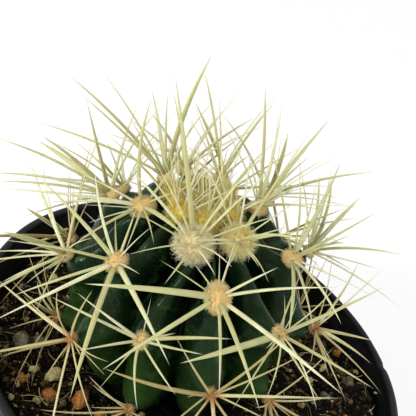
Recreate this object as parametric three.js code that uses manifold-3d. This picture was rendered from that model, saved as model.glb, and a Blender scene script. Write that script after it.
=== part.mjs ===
// A young round barrel cactus in a plastic nursery pot.
//
// Millimetres, +Z up. The origin is the centre of the pot's flat foot. The pot stands upright,
// and the plant leans a little in it, as it grew. The plant has its own frame, with its axis
// along Z and z measured from the level of the pot's rim.

import * as THREE from 'three';
import { mergeVertices } from 'three/addons/utils/BufferGeometryUtils.js';
import Module from 'manifold-3d';

const { sin, cos, abs, min, max, hypot, exp, atan2, round, PI } = Math;
const DEG = PI / 180;

// ---------------------------------------------------------------- driving dimensions

const POT = {
  height: 88,
  rimRadius: 50,       // outer edge of the rolled lip, mean of the slightly oval mouth
  footRadius: 36,
  wall: 1.1,
  floor: 1.6,
  collarDrop: 15,      // the stiffer collar under the lip
  collarStep: 0.9,
  lipWidth: 1.9,
  lipDrop: 3.2,
  edge: 0.8,           // bevels at the foot, the collar and the lip
  oval: 0.045,         // the thin mouth is pressed this much out of round
  ovalAngle: 152 * DEG,
  sides: 48,
};
const DRAIN = { count: 8, radius: 3.2, ring: 25, sides: 12 };

const SOIL = {
  level: -6.5,         // mean height against the rim
  slopeX: 0.05,
  slopeY: -0.08,
  bump: 0.8,           // height of its waves
  waveX: 0.31,         // their pitch, in radians per millimetre
  waveY: 0.27,
  cross: { height: 0.6, x: 0.4, y: -0.7 },      // a second wave across them, against the first
  clod: 0.5,           // height of the clods
  clodX: 0.85,         // their pitch, in radians per millimetre
  clodY: 0.8,
  clodTwist: 0.8,      // how far their rows wander
  clodTwistPitch: 0.65,
  inset: 0.6,          // kept off the pot's faceted wall, over the resting gap
  sides: 80,
  ringShares: [0.3, 0.44, 0.5, 0.56, 0.62, 0.68, 0.74, 0.8, 0.86, 0.93, 1],
};

// The largest grains of grit that lie on the soil: place from the pot's axis, and size.
const STONES = {
  grains: [[-25.5, -21.5, 4], [-30, -21.5, 2.5], [34.5, 8, 2.5], [31.5, 3, 2.3], [33.5, 22, 2.6],
    [-35, -16.5, 4.6], [-32.5, -14, 3.5], [41, 5.5, 3.4], [35, -2, 2.6], [-24, -27, 3.9],
    [-18, -26, 4.4], [38.5, 15.5, 2.4], [-13, -27.5, 2.6], [-31, -25, 2.5], [12, 39, 3.2],
    [-14, 37, 2.6], [27, 31, 3], [-29, 28, 3.4], [-38, 9, 2.8], [-8, 30, 2.4], [22, -34, 2.8],
    [5, -38, 2.4], [3, 33, 3.6], [-36, 20, 2.6]],
  flat: 0.75,          // height against width
  rise: 0.03,          // of the middle over the soil, against the size
  uneven: 0.14,
  clear: 0.6,          // radius that spines keep off its middle, against the size
};

const BODY = {
  radius: 25.4,        // over the crests of the ribs, at the widest
  widest: 14,          // above the rim
  above: 21.5,         // from the widest to the crown
  below: 29.2,         // reach of the lower curve, cut off in the soil
  roundAbove: 1.93,
  roundBelow: 2.1,
  buried: -17,         // underside of the plant, in the soil
  dimple: 0.8,         // the sunken growing point, and how far it spreads
  dimpleSpread: 5,
  ribs: 12,
  ribDepth: 7.1,
  ribRound: 1.8,       // higher is a flatter crest and a sharper valley
  ribStart: 3,         // distance from the axis at which the ribs begin
  ribGrown: 14,        // and at which they are full
  ribRunOut: 9,        // height over which they fade at the buried foot
  swell: 2.4,          // how far a rib swells at each areole
  swellReach: 3.2,     // over what height
  chin: 0.7,           // and how far below the areole
  firstRib: 21.5 * DEG - PI / 2,
  rings: 17,
};

// Two of the front ribs lean towards the one between them where they near the crown.
const BEND = {
  ribs: [{ rib: 11, angle: 13.5 * DEG }, { rib: 1, angle: -5 * DEG }],
  reach: 0.87,         // in ribs
  full: 12,            // distance from the axis inside which the bend is full
  none: 21,            // and outside which there is none
};
const LEAN = { x: 5.7 * DEG, y: -7.6 * DEG };
const SEAT = { x: -1.7, y: -1.2, z: POT.height - 12 };

// Neighbouring ribs bear their areoles at alternate heights: row 0 is the youngest.
const ROWS = [
  { name: 'young', odd: 0, height: 34.95, wool: 1.5, count: 5, length: 15, lift: 72, width: 0.75 },
  { name: 'row1', odd: 1, height: 33.6, wool: 2.6, count: 9, length: 25, lift: 52, width: 1.0 },
  { name: 'row2', odd: 0, height: 29.45, wool: 2.3, count: 9, length: 28, lift: 38, width: 1.15 },
  { name: 'row3', odd: 1, height: 23.1, wool: 1.8, count: 9, length: 27, lift: 32, width: 1.1 },
  { name: 'row4', odd: 0, height: 15.75, wool: 1.6, count: 9, length: 26, lift: 28, width: 1.0 },
  { name: 'row5', odd: 1, height: 7.1, wool: 1.5, count: 7, length: 21, lift: 24, width: 0.95 },
];
const SHOOT = { count: 7, length: 11, lift: 70, width: 0.7, wool: 2.6 };

// The long spines of the areoles that face the front. Each has a clock angle (0 points up the
// rib, 90 to its right, seen from outside) and a lift from the skin, both in degrees, and a
// length in millimetres.
const FRONT = {
  rib01_row2: [[265, 30, 27], [235, 25, 27], [190, 35, 22], [175, 40, 26], [140, 35, 28],
    [95, 45, 22], [70, 55, 14], [340, 60, 12], [300, 50, 12]],
  rib11_row2: [[270, 55, 21], [305, 50, 18], [20, 40, 12], [205, 50, 21], [165, 35, 25],
    [185, 25, 19], [130, 15, 27], [95, 10, 25], [75, 30, 10]],
  rib12_row3: [[300, 50, 17], [290, 40, 18], [245, 60, 15], [135, 60, 19], [120, 60, 9],
    [110, 45, 16], [80, 45, 10], [75, 40, 17], [70, 30, 20]],
  rib02_row3: [[345, 40, 12], [355, 50, 11], [45, 50, 15], [285, 10, 25], [260, 20, 21],
    [250, 35, 19], [230, 50, 19]],
  rib10_row1: [[350, 75, 23], [170, 30, 27], [160, 30, 20], [135, 15, 18], [105, 10, 15],
    [85, 10, 14], [70, 20, 19], [25, 30, 9]],
  rib12_row1: [[335, 50, 30], [160, 40, 17], [145, 40, 18]],
  rib02_row1: [[65, 60, 24], [30, 40, 18], [235, 35, 18], [145, 25, 11], [110, 30, 11]],
  rib04_row1: [[60, 60, 24], [75, 65, 19]],
  rib06_row1: [[40, 65, 25], [25, 50, 22], [250, 70, 22], [195, 45, 20], [90, 45, 18]],
  rib05_row2: [[40, 70, 16]],
  rib03_row2: [[5, 50, 21], [350, 60, 22], [270, 15, 24], [260, 20, 22], [255, 30, 24],
    [120, 30, 22], [185, 20, 18]],
  rib04_row3: [[320, 40, 25], [315, 25, 22], [290, 40, 26], [345, 30, 24], [180, 30, 20]],
  rib01_row4: [[295, 10, 22], [30, 25, 22], [50, 20, 20], [180, 30, 22], [230, 20, 20],
    [140, 20, 20]],
  rib11_row4: [[20, 20, 20], [10, 35, 21], [215, 25, 22], [200, 15, 21], [100, 15, 18],
    [70, 15, 16], [60, 15, 17]],
  rib03_row4: [[290, 10, 16], [300, 15, 14], [310, 40, 22], [180, 35, 22]],
  rib07_row2: [[275, 30, 22], [60, 35, 18]],
  rib08_row1: [[345, 65, 29], [25, 70, 22], [135, 50, 28], [125, 50, 24], [120, 30, 28], [70, 45, 18]],
  rib09_row2: [[125, 40, 25], [120, 55, 26], [35, 60, 27], [290, 40, 20]],
};

const SPINE = {
  taper: 0.84,         // width at mid length against the root
  back: 0.55,          // height of the ridge along its back, against its width
  belly: 0.2,          // depth of its flat side, against its width
  bow: 0.035,          // how far mid length bows out, against the length
  rootDepth: 0.42,     // height of the roots in the felt, against its radius
  clear: 0.22,         // least gap to any other plant part
  shortest: 6,
  shorten: 0.85,       // what is left of it each time it has to be cut back
  point: 0.05,         // half width counted at the very tip
};
const ROSETTE = {
  apart: 24,           // degrees on the clock kept free round a long front spine
  radialLift: 0.72,    // lift of the radials against that of the row
  radialLength: 0.86,
  centralRise: 10,     // degrees by which the centrals stand higher than the row's lift
  centralLength: 0.9,
  centralFan: 110,     // degrees on the clock from one central to the next
  steepest: 82,
};

// How far the spines scatter about their rule: clock and lift in degrees, and share of length.
const SCATTER = {
  radial: { clock: 12, lift: 8, length: 0.16 },
  central: { clock: 20, lift: 10, length: 0.14 },
  shoot: { clock: 12, lift: 9, length: 0.3 },
  width: 0.06,
};
const NUDGE = { turn: 32, drop: 8, rise: 40, step: 4 };
const FELT = {
  sides: 6,
  tall: 1.15,          // longer along the rib than across it
  dome: 0.85,          // height against radius
  shoulder: 0.62,
  shoulderAt: 0.75,
  brim: 0.25,
  footAt: 0.6,
  core: [0.3, 0.7],    // heights of the stretch that other spines keep off, against the radius
};
const GAP = 0.35;      // left between pieces that rest on one another
const SEED = 12;

const COLOURS = {
  pot: 0x141516, soil: 0x2a2118, body: 0x24401f, spines: 0xd9d0a0, youngSpines: 0xd8c070,
};

// ---------------------------------------------------------------- small helpers

/** A seeded random number in 0..1, the same on every run (mulberry32). */
function makeRandom(seed) {
  let state = seed >>> 0;
  return () => {
    state = (state + 0x6d2b79f5) >>> 0;
    let t = state;
    t = Math.imul(t ^ (t >>> 15), t | 1);
    t ^= t + Math.imul(t ^ (t >>> 7), t | 61);
    return ((t ^ (t >>> 14)) >>> 0) / 4294967296;
  };
}
const random = makeRandom(SEED);
const spread = (amount) => (random() * 2 - 1) * amount;
const vec = (x, y, z) => new THREE.Vector3(x, y, z);
const mix = (a, b, t) => a + (b - a) * t;
const clamp01 = (t) => min(1, max(0, t));

const wasm = await Module();
wasm.setup();

/** A copy of a geometry that keeps the points only. */
function plainOf(geometry) {
  const plain = geometry.clone();
  plain.deleteAttribute('normal');
  plain.deleteAttribute('uv');
  return plain;
}

/** Points and triangles as a closed solid, with equal points merged. */
function solidOf(geometry) {
  const merged = mergeVertices(plainOf(geometry), 1e-4);
  const mesh = new wasm.Mesh({
    numProp: 3,
    vertProperties: new Float32Array(merged.attributes.position.array),
    triVerts: new Uint32Array(merged.index.array),
  });
  return new wasm.Manifold(mesh);
}

/** The triangles of a solid, as a three.js geometry. */
function geometryOf(solid) {
  const mesh = solid.getMesh();
  const geometry = new THREE.BufferGeometry();
  geometry.setAttribute('position', new THREE.BufferAttribute(mesh.vertProperties, 3));
  geometry.setIndex(new THREE.BufferAttribute(mesh.triVerts, 1));
  geometry.computeVertexNormals();
  return geometry;
}

/** A closed skin: rings of equally many points between a first and a last single point. */
function skinOf(first, rings, last) {
  const sides = rings[0].length;
  const points = [first, ...rings.flat(), last];
  const index = [];
  const at = (ring, side) => 1 + ring * sides + ((side + sides) % sides);
  for (let side = 0; side < sides; side += 1) {
    index.push(0, at(0, side), at(0, side + 1));
    for (let ring = 0; ring + 1 < rings.length; ring += 1) {
      index.push(at(ring, side), at(ring + 1, side), at(ring + 1, side + 1));
      index.push(at(ring, side), at(ring + 1, side + 1), at(ring, side + 1));
    }
    index.push(points.length - 1, at(rings.length - 1, side + 1), at(rings.length - 1, side));
  }
  const geometry = new THREE.BufferGeometry();
  geometry.setAttribute('position', new THREE.Float32BufferAttribute(points.flatMap((p) => p.toArray()), 3));
  geometry.setIndex(index);
  geometry.computeVertexNormals();
  return geometry;
}

// ---------------------------------------------------------------- pot

/** Out-of-roundness of the pot: the radius is multiplied by this at a height and an angle. */
function ovalAt(z, angle) {
  return 1 + POT.oval * (clamp01(z / POT.height) ** 1.5) * cos(2 * (angle - POT.ovalAngle));
}

/** Presses a round geometry into the pot's oval. */
function pressOval(geometry) {
  const position = geometry.attributes.position;
  for (let i = 0; i < position.count; i += 1) {
    const [x, y, z] = [position.getX(i), position.getY(i), position.getZ(i)];
    const factor = ovalAt(z, atan2(y, x));
    position.setXYZ(i, x * factor, y * factor, z);
  }
  return geometry;
}

/** Radius of the inner wall of the round pot at a height. */
function innerRadius(z) {
  const top = POT.rimRadius - POT.lipWidth;
  return mix(POT.footRadius - POT.wall, top, clamp01(z / POT.height));
}

/** A lathed thin wall with a collar and a rolled lip, with drain holes cut through the floor. */
function makePot() {
  const { height, rimRadius, footRadius, wall, floor, lipWidth, lipDrop, collarStep, edge } = POT;
  const collarFoot = height - POT.collarDrop;
  const outer = (z) => innerRadius(z) + wall;
  const lipFoot = height - lipDrop;
  const roll = lipWidth / 2;
  const profile = [
    [0, 0],
    [footRadius - edge, 0],
    [footRadius, edge],
    [outer(collarFoot), collarFoot],
    [outer(collarFoot) + collarStep, collarFoot + edge],
    [min(outer(lipFoot) + collarStep, rimRadius - edge / 2), lipFoot - edge],
    [rimRadius, lipFoot],
    [rimRadius, height - roll],
    [rimRadius - 0.3 * roll, height - 0.3 * roll],
    [rimRadius - roll, height],
    [rimRadius - 1.7 * roll, height - 0.3 * roll],
    [innerRadius(lipFoot), lipFoot],
    [innerRadius(floor + edge), floor + edge],
    [innerRadius(floor) - edge, floor],
    [0, floor],
  ];
  const lathe = new THREE.LatheGeometry(profile.map(([r, z]) => new THREE.Vector2(r, z)), POT.sides);
  lathe.rotateX(PI / 2);
  let solid = solidOf(pressOval(lathe));
  for (let k = 0; k < DRAIN.count; k += 1) {
    const drill = new THREE.CylinderGeometry(DRAIN.radius, DRAIN.radius, 4 * POT.floor, DRAIN.sides);
    drill.rotateX(PI / 2);
    const angle = (k + 0.5) * 2 * PI / DRAIN.count;
    drill.translate(DRAIN.ring * cos(angle), DRAIN.ring * sin(angle), 0);
    solid = solid.subtract(solidOf(drill));
  }
  return geometryOf(solid);
}

// ---------------------------------------------------------------- plant body

/** Height and crest radius on the body's outline; t is 0 at the crown and 1 at the widest. */
function outline(t) {
  const angle = t * PI / 2;
  if (t <= 1) {
    const height = BODY.widest + BODY.above * cos(angle) ** (2 / BODY.roundAbove);
    return { r: BODY.radius * sin(angle), z: height };
  }
  const height = BODY.widest - BODY.below * (-cos(angle)) ** (2 / BODY.roundBelow);
  return { r: BODY.radius * sin(angle), z: height };
}

/** The place on the outline that lies at a given height. */
function outlineAt(z) {
  let low = 0;
  let high = 2;
  for (let k = 0; k < 40; k += 1) {
    const t = (low + high) / 2;
    if (outline(t).z > z) low = t;
    else high = t;
  }
  return low;
}
const BURIED = outlineAt(BODY.buried);
const PITCH = 2 * PI / BODY.ribs;

/** How near a place on a rib is to one of the rib's areoles, 0 to 1. */
function swellAt(z, odd) {
  const rows = ROWS.filter((row) => row.odd === odd);
  return max(...rows.map((row) => exp(-(((z + BODY.chin - row.height) / BODY.swellReach) ** 2))));
}

/** The angle by which the ribs are bent sideways at a place counted in ribs round the body. */
function bendAt(along, r) {
  const near = clamp01((BEND.none - r) / (BEND.none - BEND.full));
  const full = near * near * (3 - 2 * near);
  const half = BODY.ribs / 2;
  return full * BEND.ribs.reduce((sum, { rib, angle }) => {
    const away = (((along - rib + half) % BODY.ribs) + BODY.ribs) % BODY.ribs - half;
    return sum + angle * exp(-((away / BEND.reach) ** 2));
  }, 0);
}

/** The angle round the axis of a place counted in ribs, at a distance from the axis. */
function turnAt(along, r) {
  return BODY.firstRib + along * PITCH + bendAt(along, r);
}

/** The way back: the place counted in ribs that lies at an angle round the axis. */
function alongAt(turn, r) {
  let along = (turn - BODY.firstRib) / PITCH;
  for (let k = 0; k < 6; k += 1) {
    along = (turn - BODY.firstRib - bendAt(along, r)) / PITCH;
  }
  return along;
}

/**
 * A point on the ribbed skin. A whole number of along is the crest of that rib, and t runs down
 * the outline. The valleys are sunk and the areoles swell square to the outline.
 */
function skin(along, t, out = 0) {
  const { r, z } = outline(t);
  const rib = round(along);
  const crest = 1 - min(1, abs(2 * (along - rib))) ** BODY.ribRound;
  const grown = clamp01((r - BODY.ribStart) / (BODY.ribGrown - BODY.ribStart));
  const depth = BODY.ribDepth * grown * clamp01((z - BODY.buried) / BODY.ribRunOut);
  const swell = BODY.swell * swellAt(z, abs(rib) % 2) * crest * clamp01(r / 8);
  const rise = swell - depth * (1 - crest);
  const radius = max(0, r + rise * sin(t * PI / 2) + out * min(1, r / 2));
  const dimple = BODY.dimple * exp(-((r / BODY.dimpleSpread) ** 2));
  const height = z - dimple + rise * cos(t * PI / 2) + out * cos(min(t, 1) * PI / 2);
  const turn = turnAt(along, r);
  return vec(radius * cos(turn), radius * sin(turn), height);
}

/** The body as one closed skin, grown by a margin where it is used as a cutter. */
function bodyGeometry(margin = 0) {
  const across = [-0.5, -0.37, -0.19, 0, 0.19, 0.37];
  const columns = [];
  for (let rib = 0; rib < BODY.ribs; rib += 1) {
    across.forEach((part) => columns.push(rib + part));
  }
  const rings = [];
  for (let k = 1; k <= BODY.rings; k += 1) {
    const t = BURIED * (k / BODY.rings) ** 0.93;
    rings.push(columns.map((along) => skin(along, t, margin)));
  }
  const crown = skin(0, 0, 0);
  crown.z += margin;
  const foot = vec(0, 0, outline(BURIED).z - margin);
  return skinOf(crown, rings, foot);
}

/** The frame of an areole on the crest of a rib: its place, up the rib, to its right, outwards. */
function areoleFrame(rib, height) {
  const t = outlineAt(height);
  const step = 0.01;
  const place = skin(rib, t);
  const up = skin(rib, t - step).sub(skin(rib, t + step)).normalize();
  const turn = atan2(place.y, place.x);
  const out = vec(-sin(turn), cos(turn), 0).cross(up).normalize();
  return { place, up, side: up.clone().cross(out), out };
}

// ---------------------------------------------------------------- soil

/** Height of the soil against the rim, in the pot's frame: a slope with low waves and clods. */
function soilHeight(x, y) {
  const { waveX, waveY, cross, clodX, clodY, clodTwist, clodTwistPitch } = SOIL;
  const crossing = cross.height * sin(cross.x * x * waveX + cross.y * y * waveY + 2);
  const waves = sin(x * waveX + 1) * cos(y * waveY) + crossing;
  const rows = sin(x * clodX + clodTwist * sin(clodTwistPitch * y));
  const clods = rows * cos(y * clodY + clodTwist * sin(clodTwistPitch * x));
  const slope = SOIL.slopeX * x + SOIL.slopeY * y;
  return POT.height + SOIL.level + slope + SOIL.bump * waves + SOIL.clod * clods;
}

/** The middle of each stone on the soil, with its size. */
function stonePlaces() {
  return STONES.grains.map(([x, y, size]) => (
    { middle: vec(x, y, soilHeight(x, y) + STONES.rise * size), size }
  ));
}
const STONE_PLACES = stonePlaces();

/** One stone: a flattened lump of twenty faces, each corner drawn in or out a little. */
function stoneSolid({ middle, size }) {
  const lump = mergeVertices(plainOf(new THREE.IcosahedronGeometry(size / 2, 0)), 1e-4);
  const position = lump.attributes.position;
  for (let i = 0; i < position.count; i += 1) {
    const far = 1 + spread(STONES.uneven);
    position.setXYZ(i, position.getX(i) * far, position.getY(i) * far, position.getZ(i) * far * STONES.flat);
  }
  lump.rotateZ(random() * 2 * PI);
  lump.translate(middle.x, middle.y, middle.z);
  return solidOf(lump);
}

/** The fill of the pot, from its floor to its stony surface, with the hole the plant stands in. */
function makeSoil(toPot) {
  const wall = innerRadius(POT.height + SOIL.level - 2 * SOIL.bump);
  const rings = SOIL.ringShares.map((share) => Array.from({ length: SOIL.sides }, (_, side) => {
    const angle = side * 2 * PI / SOIL.sides;
    const r = share * ((wall - GAP) * ovalAt(POT.height, angle) - SOIL.inset);
    return vec(r * cos(angle), r * sin(angle), soilHeight(r * cos(angle), r * sin(angle)));
  }));
  const foot = POT.floor + GAP;
  const lowest = rings[0].map((_, side) => {
    const angle = side * 2 * PI / SOIL.sides;
    const r = innerRadius(foot) - GAP - POT.edge - SOIL.inset;
    return vec(r * cos(angle), r * sin(angle), foot);
  });
  const fill = skinOf(vec(0, 0, soilHeight(0, 0)), [...rings, lowest], vec(0, 0, foot));
  const hole = bodyGeometry(GAP).applyMatrix4(toPot);
  const stony = STONE_PLACES.reduce((solid, stone) => solid.add(stoneSolid(stone)), solidOf(fill));
  return geometryOf(stony.subtract(solidOf(hole)));
}

// ---------------------------------------------------------------- areoles and spines

/** The felt cushion of an areole: a dome on a flat foot, which rests on the crest of the rib. */
function padSolid({ place, up, side, out }, radius) {
  const over = (height) => place.clone().addScaledVector(out, height);
  const ring = (part, height) => Array.from({ length: FELT.sides }, (_, k) => {
    const angle = k * 2 * PI / FELT.sides;
    const across = part * radius * cos(angle);
    const along = part * radius * FELT.tall * sin(angle);
    return over(height).addScaledVector(side, across).addScaledVector(up, along);
  });
  const rings = [
    ring(FELT.shoulderAt, GAP + radius * FELT.shoulder),
    ring(1, GAP + radius * FELT.brim),
    ring(FELT.footAt, GAP),
  ];
  return solidOf(skinOf(over(GAP + radius * FELT.dome), rings, over(GAP)));
}

/** The course of a spine: root, middle and tip, and the two ways across it. */
function spineCourse({ frame, wool }, clock, lift, length, width) {
  const flat = frame.up.clone().multiplyScalar(cos(clock)).addScaledVector(frame.side, sin(clock));
  const way = flat.multiplyScalar(cos(lift)).addScaledVector(frame.out, sin(lift));
  const root = frame.place.clone().addScaledVector(frame.out, GAP + wool * SPINE.rootDepth);
  const thin = frame.out.clone().addScaledVector(way, -frame.out.dot(way)).normalize();
  const wide = way.clone().cross(thin);
  const middle = root.clone().addScaledVector(way, length / 2).addScaledVector(thin, length * SPINE.bow);
  const tip = root.clone().addScaledVector(way, length);
  return { root, middle, tip, thin, wide, width };
}

/** A flattened three-sided needle with one ring at mid length. */
function spineSolid({ root, middle, tip, thin, wide, width }) {
  const section = (centre, size) => [
    centre.clone().addScaledVector(wide, size / 2).addScaledVector(thin, -size * SPINE.belly),
    centre.clone().addScaledVector(thin, size * SPINE.back),
    centre.clone().addScaledVector(wide, -size / 2).addScaledVector(thin, -size * SPINE.belly),
  ];
  return solidOf(skinOf(root, [section(root, width), section(middle, width * SPINE.taper)], tip));
}

/** Shortest distance between two straight stretches, with the shares at which it is reached. */
function stretchDistance(a, b, c, d) {
  const u = b.clone().sub(a);
  const v = d.clone().sub(c);
  const w = a.clone().sub(c);
  const [uu, uv, vv, uw, vw] = [u.dot(u), u.dot(v), v.dot(v), u.dot(w), v.dot(w)];
  const area = uu * vv - uv * uv;
  let s = area > 1e-9 ? clamp01((uv * vw - vv * uw) / area) : 0;
  let t = clamp01((uv * s + vw) / vv);
  s = clamp01((uv * t - uw) / uu);
  t = clamp01((uv * s + vw) / vv);
  const gap = w.addScaledVector(u, s).addScaledVector(v, -t).length();
  return { gap, s, t };
}

const halves = (spine) => [
  [spine.root, spine.middle, spine.width / 2, spine.width * SPINE.taper / 2],
  [spine.middle, spine.tip, spine.width * SPINE.taper / 2, SPINE.point],
];

/** Whether two spines keep clear of each other. */
function spinesClear(one, other) {
  const reach = one.root.distanceTo(one.tip) + other.root.distanceTo(other.tip) + one.width + other.width;
  if (one.root.distanceTo(other.root) > reach) return true;
  return halves(one).every(([a, b, wide, thin]) => halves(other).every(([c, d, wide2, thin2]) => {
    const { gap, s, t } = stretchDistance(a, b, c, d);
    return gap > 2 * SPINE.back * (mix(wide, thin, s) + mix(wide2, thin2, t)) + SPINE.clear;
  }));
}

/** Whether a spine clears the skin it grows over, the soil and the pot's wall. */
function spineInOpen(spine, toPot) {
  const steps = 12;
  for (let k = 2; k <= steps; k += 1) {
    const share = k / steps;
    const point = share < 0.5
      ? spine.root.clone().lerp(spine.middle, share * 2)
      : spine.middle.clone().lerp(spine.tip, share * 2 - 1);
    const half = mix(spine.width / 2, SPINE.point, share) + SPINE.clear;
    if (point.z < BODY.widest + BODY.above && point.z > BODY.buried) {
      const t = outlineAt(point.z);
      const wall = skin(alongAt(atan2(point.y, point.x), outline(t).r), t);
      if (hypot(point.x, point.y) < hypot(wall.x, wall.y) + half) return false;
    }
    const world = point.applyMatrix4(toPot);
    const r = hypot(world.x, world.y);
    const rim = POT.rimRadius * ovalAt(POT.height, atan2(world.y, world.x));
    if (world.z < soilHeight(world.x, world.y) + SOIL.bump + half && r < rim) return false;
    const onStone = ({ middle, size }) => middle.distanceTo(world) < size * STONES.clear + half;
    if (STONE_PLACES.some(onStone)) return false;
    if (world.z < POT.height + half + SPINE.clear && r > rim - 2.3 * POT.lipWidth) return false;
  }
  return true;
}

/** Small turns tried in order until a spine stands clear, the least first. */
function nudges() {
  const list = [];
  for (let clock = -NUDGE.turn; clock <= NUDGE.turn; clock += NUDGE.step) {
    for (let lift = -NUDGE.drop; lift <= NUDGE.rise; lift += NUDGE.step) {
      list.push([clock * DEG, lift * DEG]);
    }
  }
  return list.sort((a, b) => hypot(...a) - hypot(...b));
}
const NUDGES = nudges();

/** The spines that an areole bears by the common rule: a rosette of radials, and centrals. */
function rosette(row) {
  const list = [];
  const centrals = row.count > 8 ? 3 : 2;
  const radials = row.count - centrals;
  for (let k = 0; k < radials; k += 1) {
    const clock = (k + 0.5) * 360 / radials + spread(SCATTER.radial.clock);
    const lift = row.lift * ROSETTE.radialLift + spread(SCATTER.radial.lift);
    list.push([clock, lift, row.length * (ROSETTE.radialLength + spread(SCATTER.radial.length))]);
  }
  for (let k = 0; k < centrals; k += 1) {
    const clock = 180 + (k - (centrals - 1) / 2) * ROSETTE.centralFan + spread(SCATTER.central.clock);
    const lift = min(ROSETTE.steepest, row.lift + ROSETTE.centralRise + spread(SCATTER.central.lift));
    list.push([clock, lift, row.length * (ROSETTE.centralLength + spread(SCATTER.central.length))]);
  }
  return list;
}

/** The long front spines of an areole, then those of its rosette that stand apart from them. */
function wishesFor({ name, row }) {
  const front = FRONT[name] ?? [];
  const turnBetween = (a, b) => abs(((a - b + 540) % 360) - 180);
  const apart = ([clock]) => front.every(([other]) => turnBetween(clock, other) > ROSETTE.apart);
  const room = max(0, row.count - front.length);
  return [...front, ...rosette(row).filter(apart).slice(0, room)];
}

/** Lays out every areole, then its spines one by one, each bent clear of those before it. */
function layOutAreoles(toPot) {
  const areoles = [];
  for (let rib = 0; rib < BODY.ribs; rib += 1) {
    ROWS.filter((row) => row.odd === rib % 2).forEach((row) => {
      const name = `rib${String(rib + 1).padStart(2, '0')}_${row.name}`;
      const frame = areoleFrame(rib, row.height);
      areoles.push({ name, row, frame, wool: row.wool, width: row.width, spines: [] });
    });
  }
  areoles.sort((a, b) => Number(b.name in FRONT) - Number(a.name in FRONT));
  areoles.forEach((areole) => {
    areole.wishes = wishesFor(areole);
  });
  areoles.push(growingPoint());
  areoles.forEach((areole) => growSpines(areole, areoles, toPot));
  return areoles;
}

/** The growing point: the felt and the upright young spines over the plant's axis. */
function growingPoint() {
  const frame = { place: skin(0, 0), up: vec(1, 0, 0), side: vec(0, -1, 0), out: vec(0, 0, 1) };
  const wishes = Array.from({ length: SHOOT.count }, (_, k) => {
    const clock = k * 360 / SHOOT.count + spread(SCATTER.shoot.clock);
    const lift = SHOOT.lift + spread(SCATTER.shoot.lift);
    return [clock, lift, SHOOT.length * (1 + spread(SCATTER.shoot.length))];
  });
  return { ...SHOOT, name: 'growing_point', row: ROWS[0], frame, wishes, spines: [] };
}

/** Places the wished spines of one areole, nudged or shortened until each stands clear. */
function growSpines(areole, areoles, toPot) {
  const others = areoles.filter((other) => other !== areole);
  const clearOfOthers = (spine) => others.every((other) => {
    const { place, out } = other.frame;
    const over = (share) => place.clone().addScaledVector(out, GAP + other.wool * share);
    const [low, high] = FELT.core.map(over);
    const free = halves(spine).every(([a, b, wide]) => (
      stretchDistance(a, b, low, high).gap > other.wool * FELT.tall + wide + SPINE.clear
    ));
    return free && other.spines.every((grown) => spinesClear(spine, grown));
  });
  areole.wishes.forEach(([clock, lift, length], index) => {
    const stoutness = index % 3 === 0 ? 1.15 : 0.9;
    const width = areole.width * stoutness + spread(SCATTER.width);
    for (let size = length; size > SPINE.shortest; size *= SPINE.shorten) {
      const course = NUDGES.map(([turn, rise]) => (
        spineCourse(areole, clock * DEG + turn, lift * DEG + rise, size, width)
      )).find((spine) => spineInOpen(spine, toPot) && clearOfOthers(spine));
      if (course) {
        areole.spines.push(course);
        return;
      }
    }
  });
}

/** Felt pad and spines of one areole as one solid. */
function areoleGeometry(areole) {
  const pad = padSolid(areole.frame, areole.wool);
  return geometryOf(areole.spines.reduce((solid, spine) => solid.add(spineSolid(spine)), pad));
}

// ---------------------------------------------------------------- assembly

function material(colour, roughness) {
  return new THREE.MeshStandardMaterial({ color: colour, roughness, metalness: 0 });
}

function piece(title, geometry, look) {
  const mesh = new THREE.Mesh(geometry, look);
  mesh.name = title;
  return mesh;
}

const plant = new THREE.Group();
plant.rotation.set(LEAN.x, LEAN.y, 0, 'YXZ');
plant.position.set(SEAT.x, SEAT.y, SEAT.z);
const growth = new THREE.Group();
growth.position.z = POT.height - SEAT.z;
plant.add(growth);
plant.updateMatrixWorld(true);
const toPot = growth.matrixWorld.clone();

growth.add(piece('cactus_body', bodyGeometry(), material(COLOURS.body, 0.45)));
const paleSpines = material(COLOURS.spines, 0.5);
const goldSpines = material(COLOURS.youngSpines, 0.5);
layOutAreoles(toPot).forEach((areole) => {
  const young = areole.row === ROWS[0];
  const title = areole.name === 'growing_point' ? areole.name : `areole_${areole.name}`;
  growth.add(piece(title, areoleGeometry(areole), young ? goldSpines : paleSpines));
});

const group = new THREE.Group();
group.add(piece('pot', makePot(), material(COLOURS.pot, 0.4)));
group.add(piece('soil', makeSoil(toPot), material(COLOURS.soil, 1)));
group.add(plant);

export default group;
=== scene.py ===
# %% [markdown]
# # A round cactus in a nursery pot
#
# This lesson dresses a packed model of a young barrel cactus. The model gives the size and the
# place of every piece: a pot, its soil, a ribbed body, and three dozen areoles and a growing point
# with their spines.
# Here each of them gets the finish of the real thing. The pieces stay where the frame has them,
# so nothing is fitted by eye afterwards.

# %% The frame
import math

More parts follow.
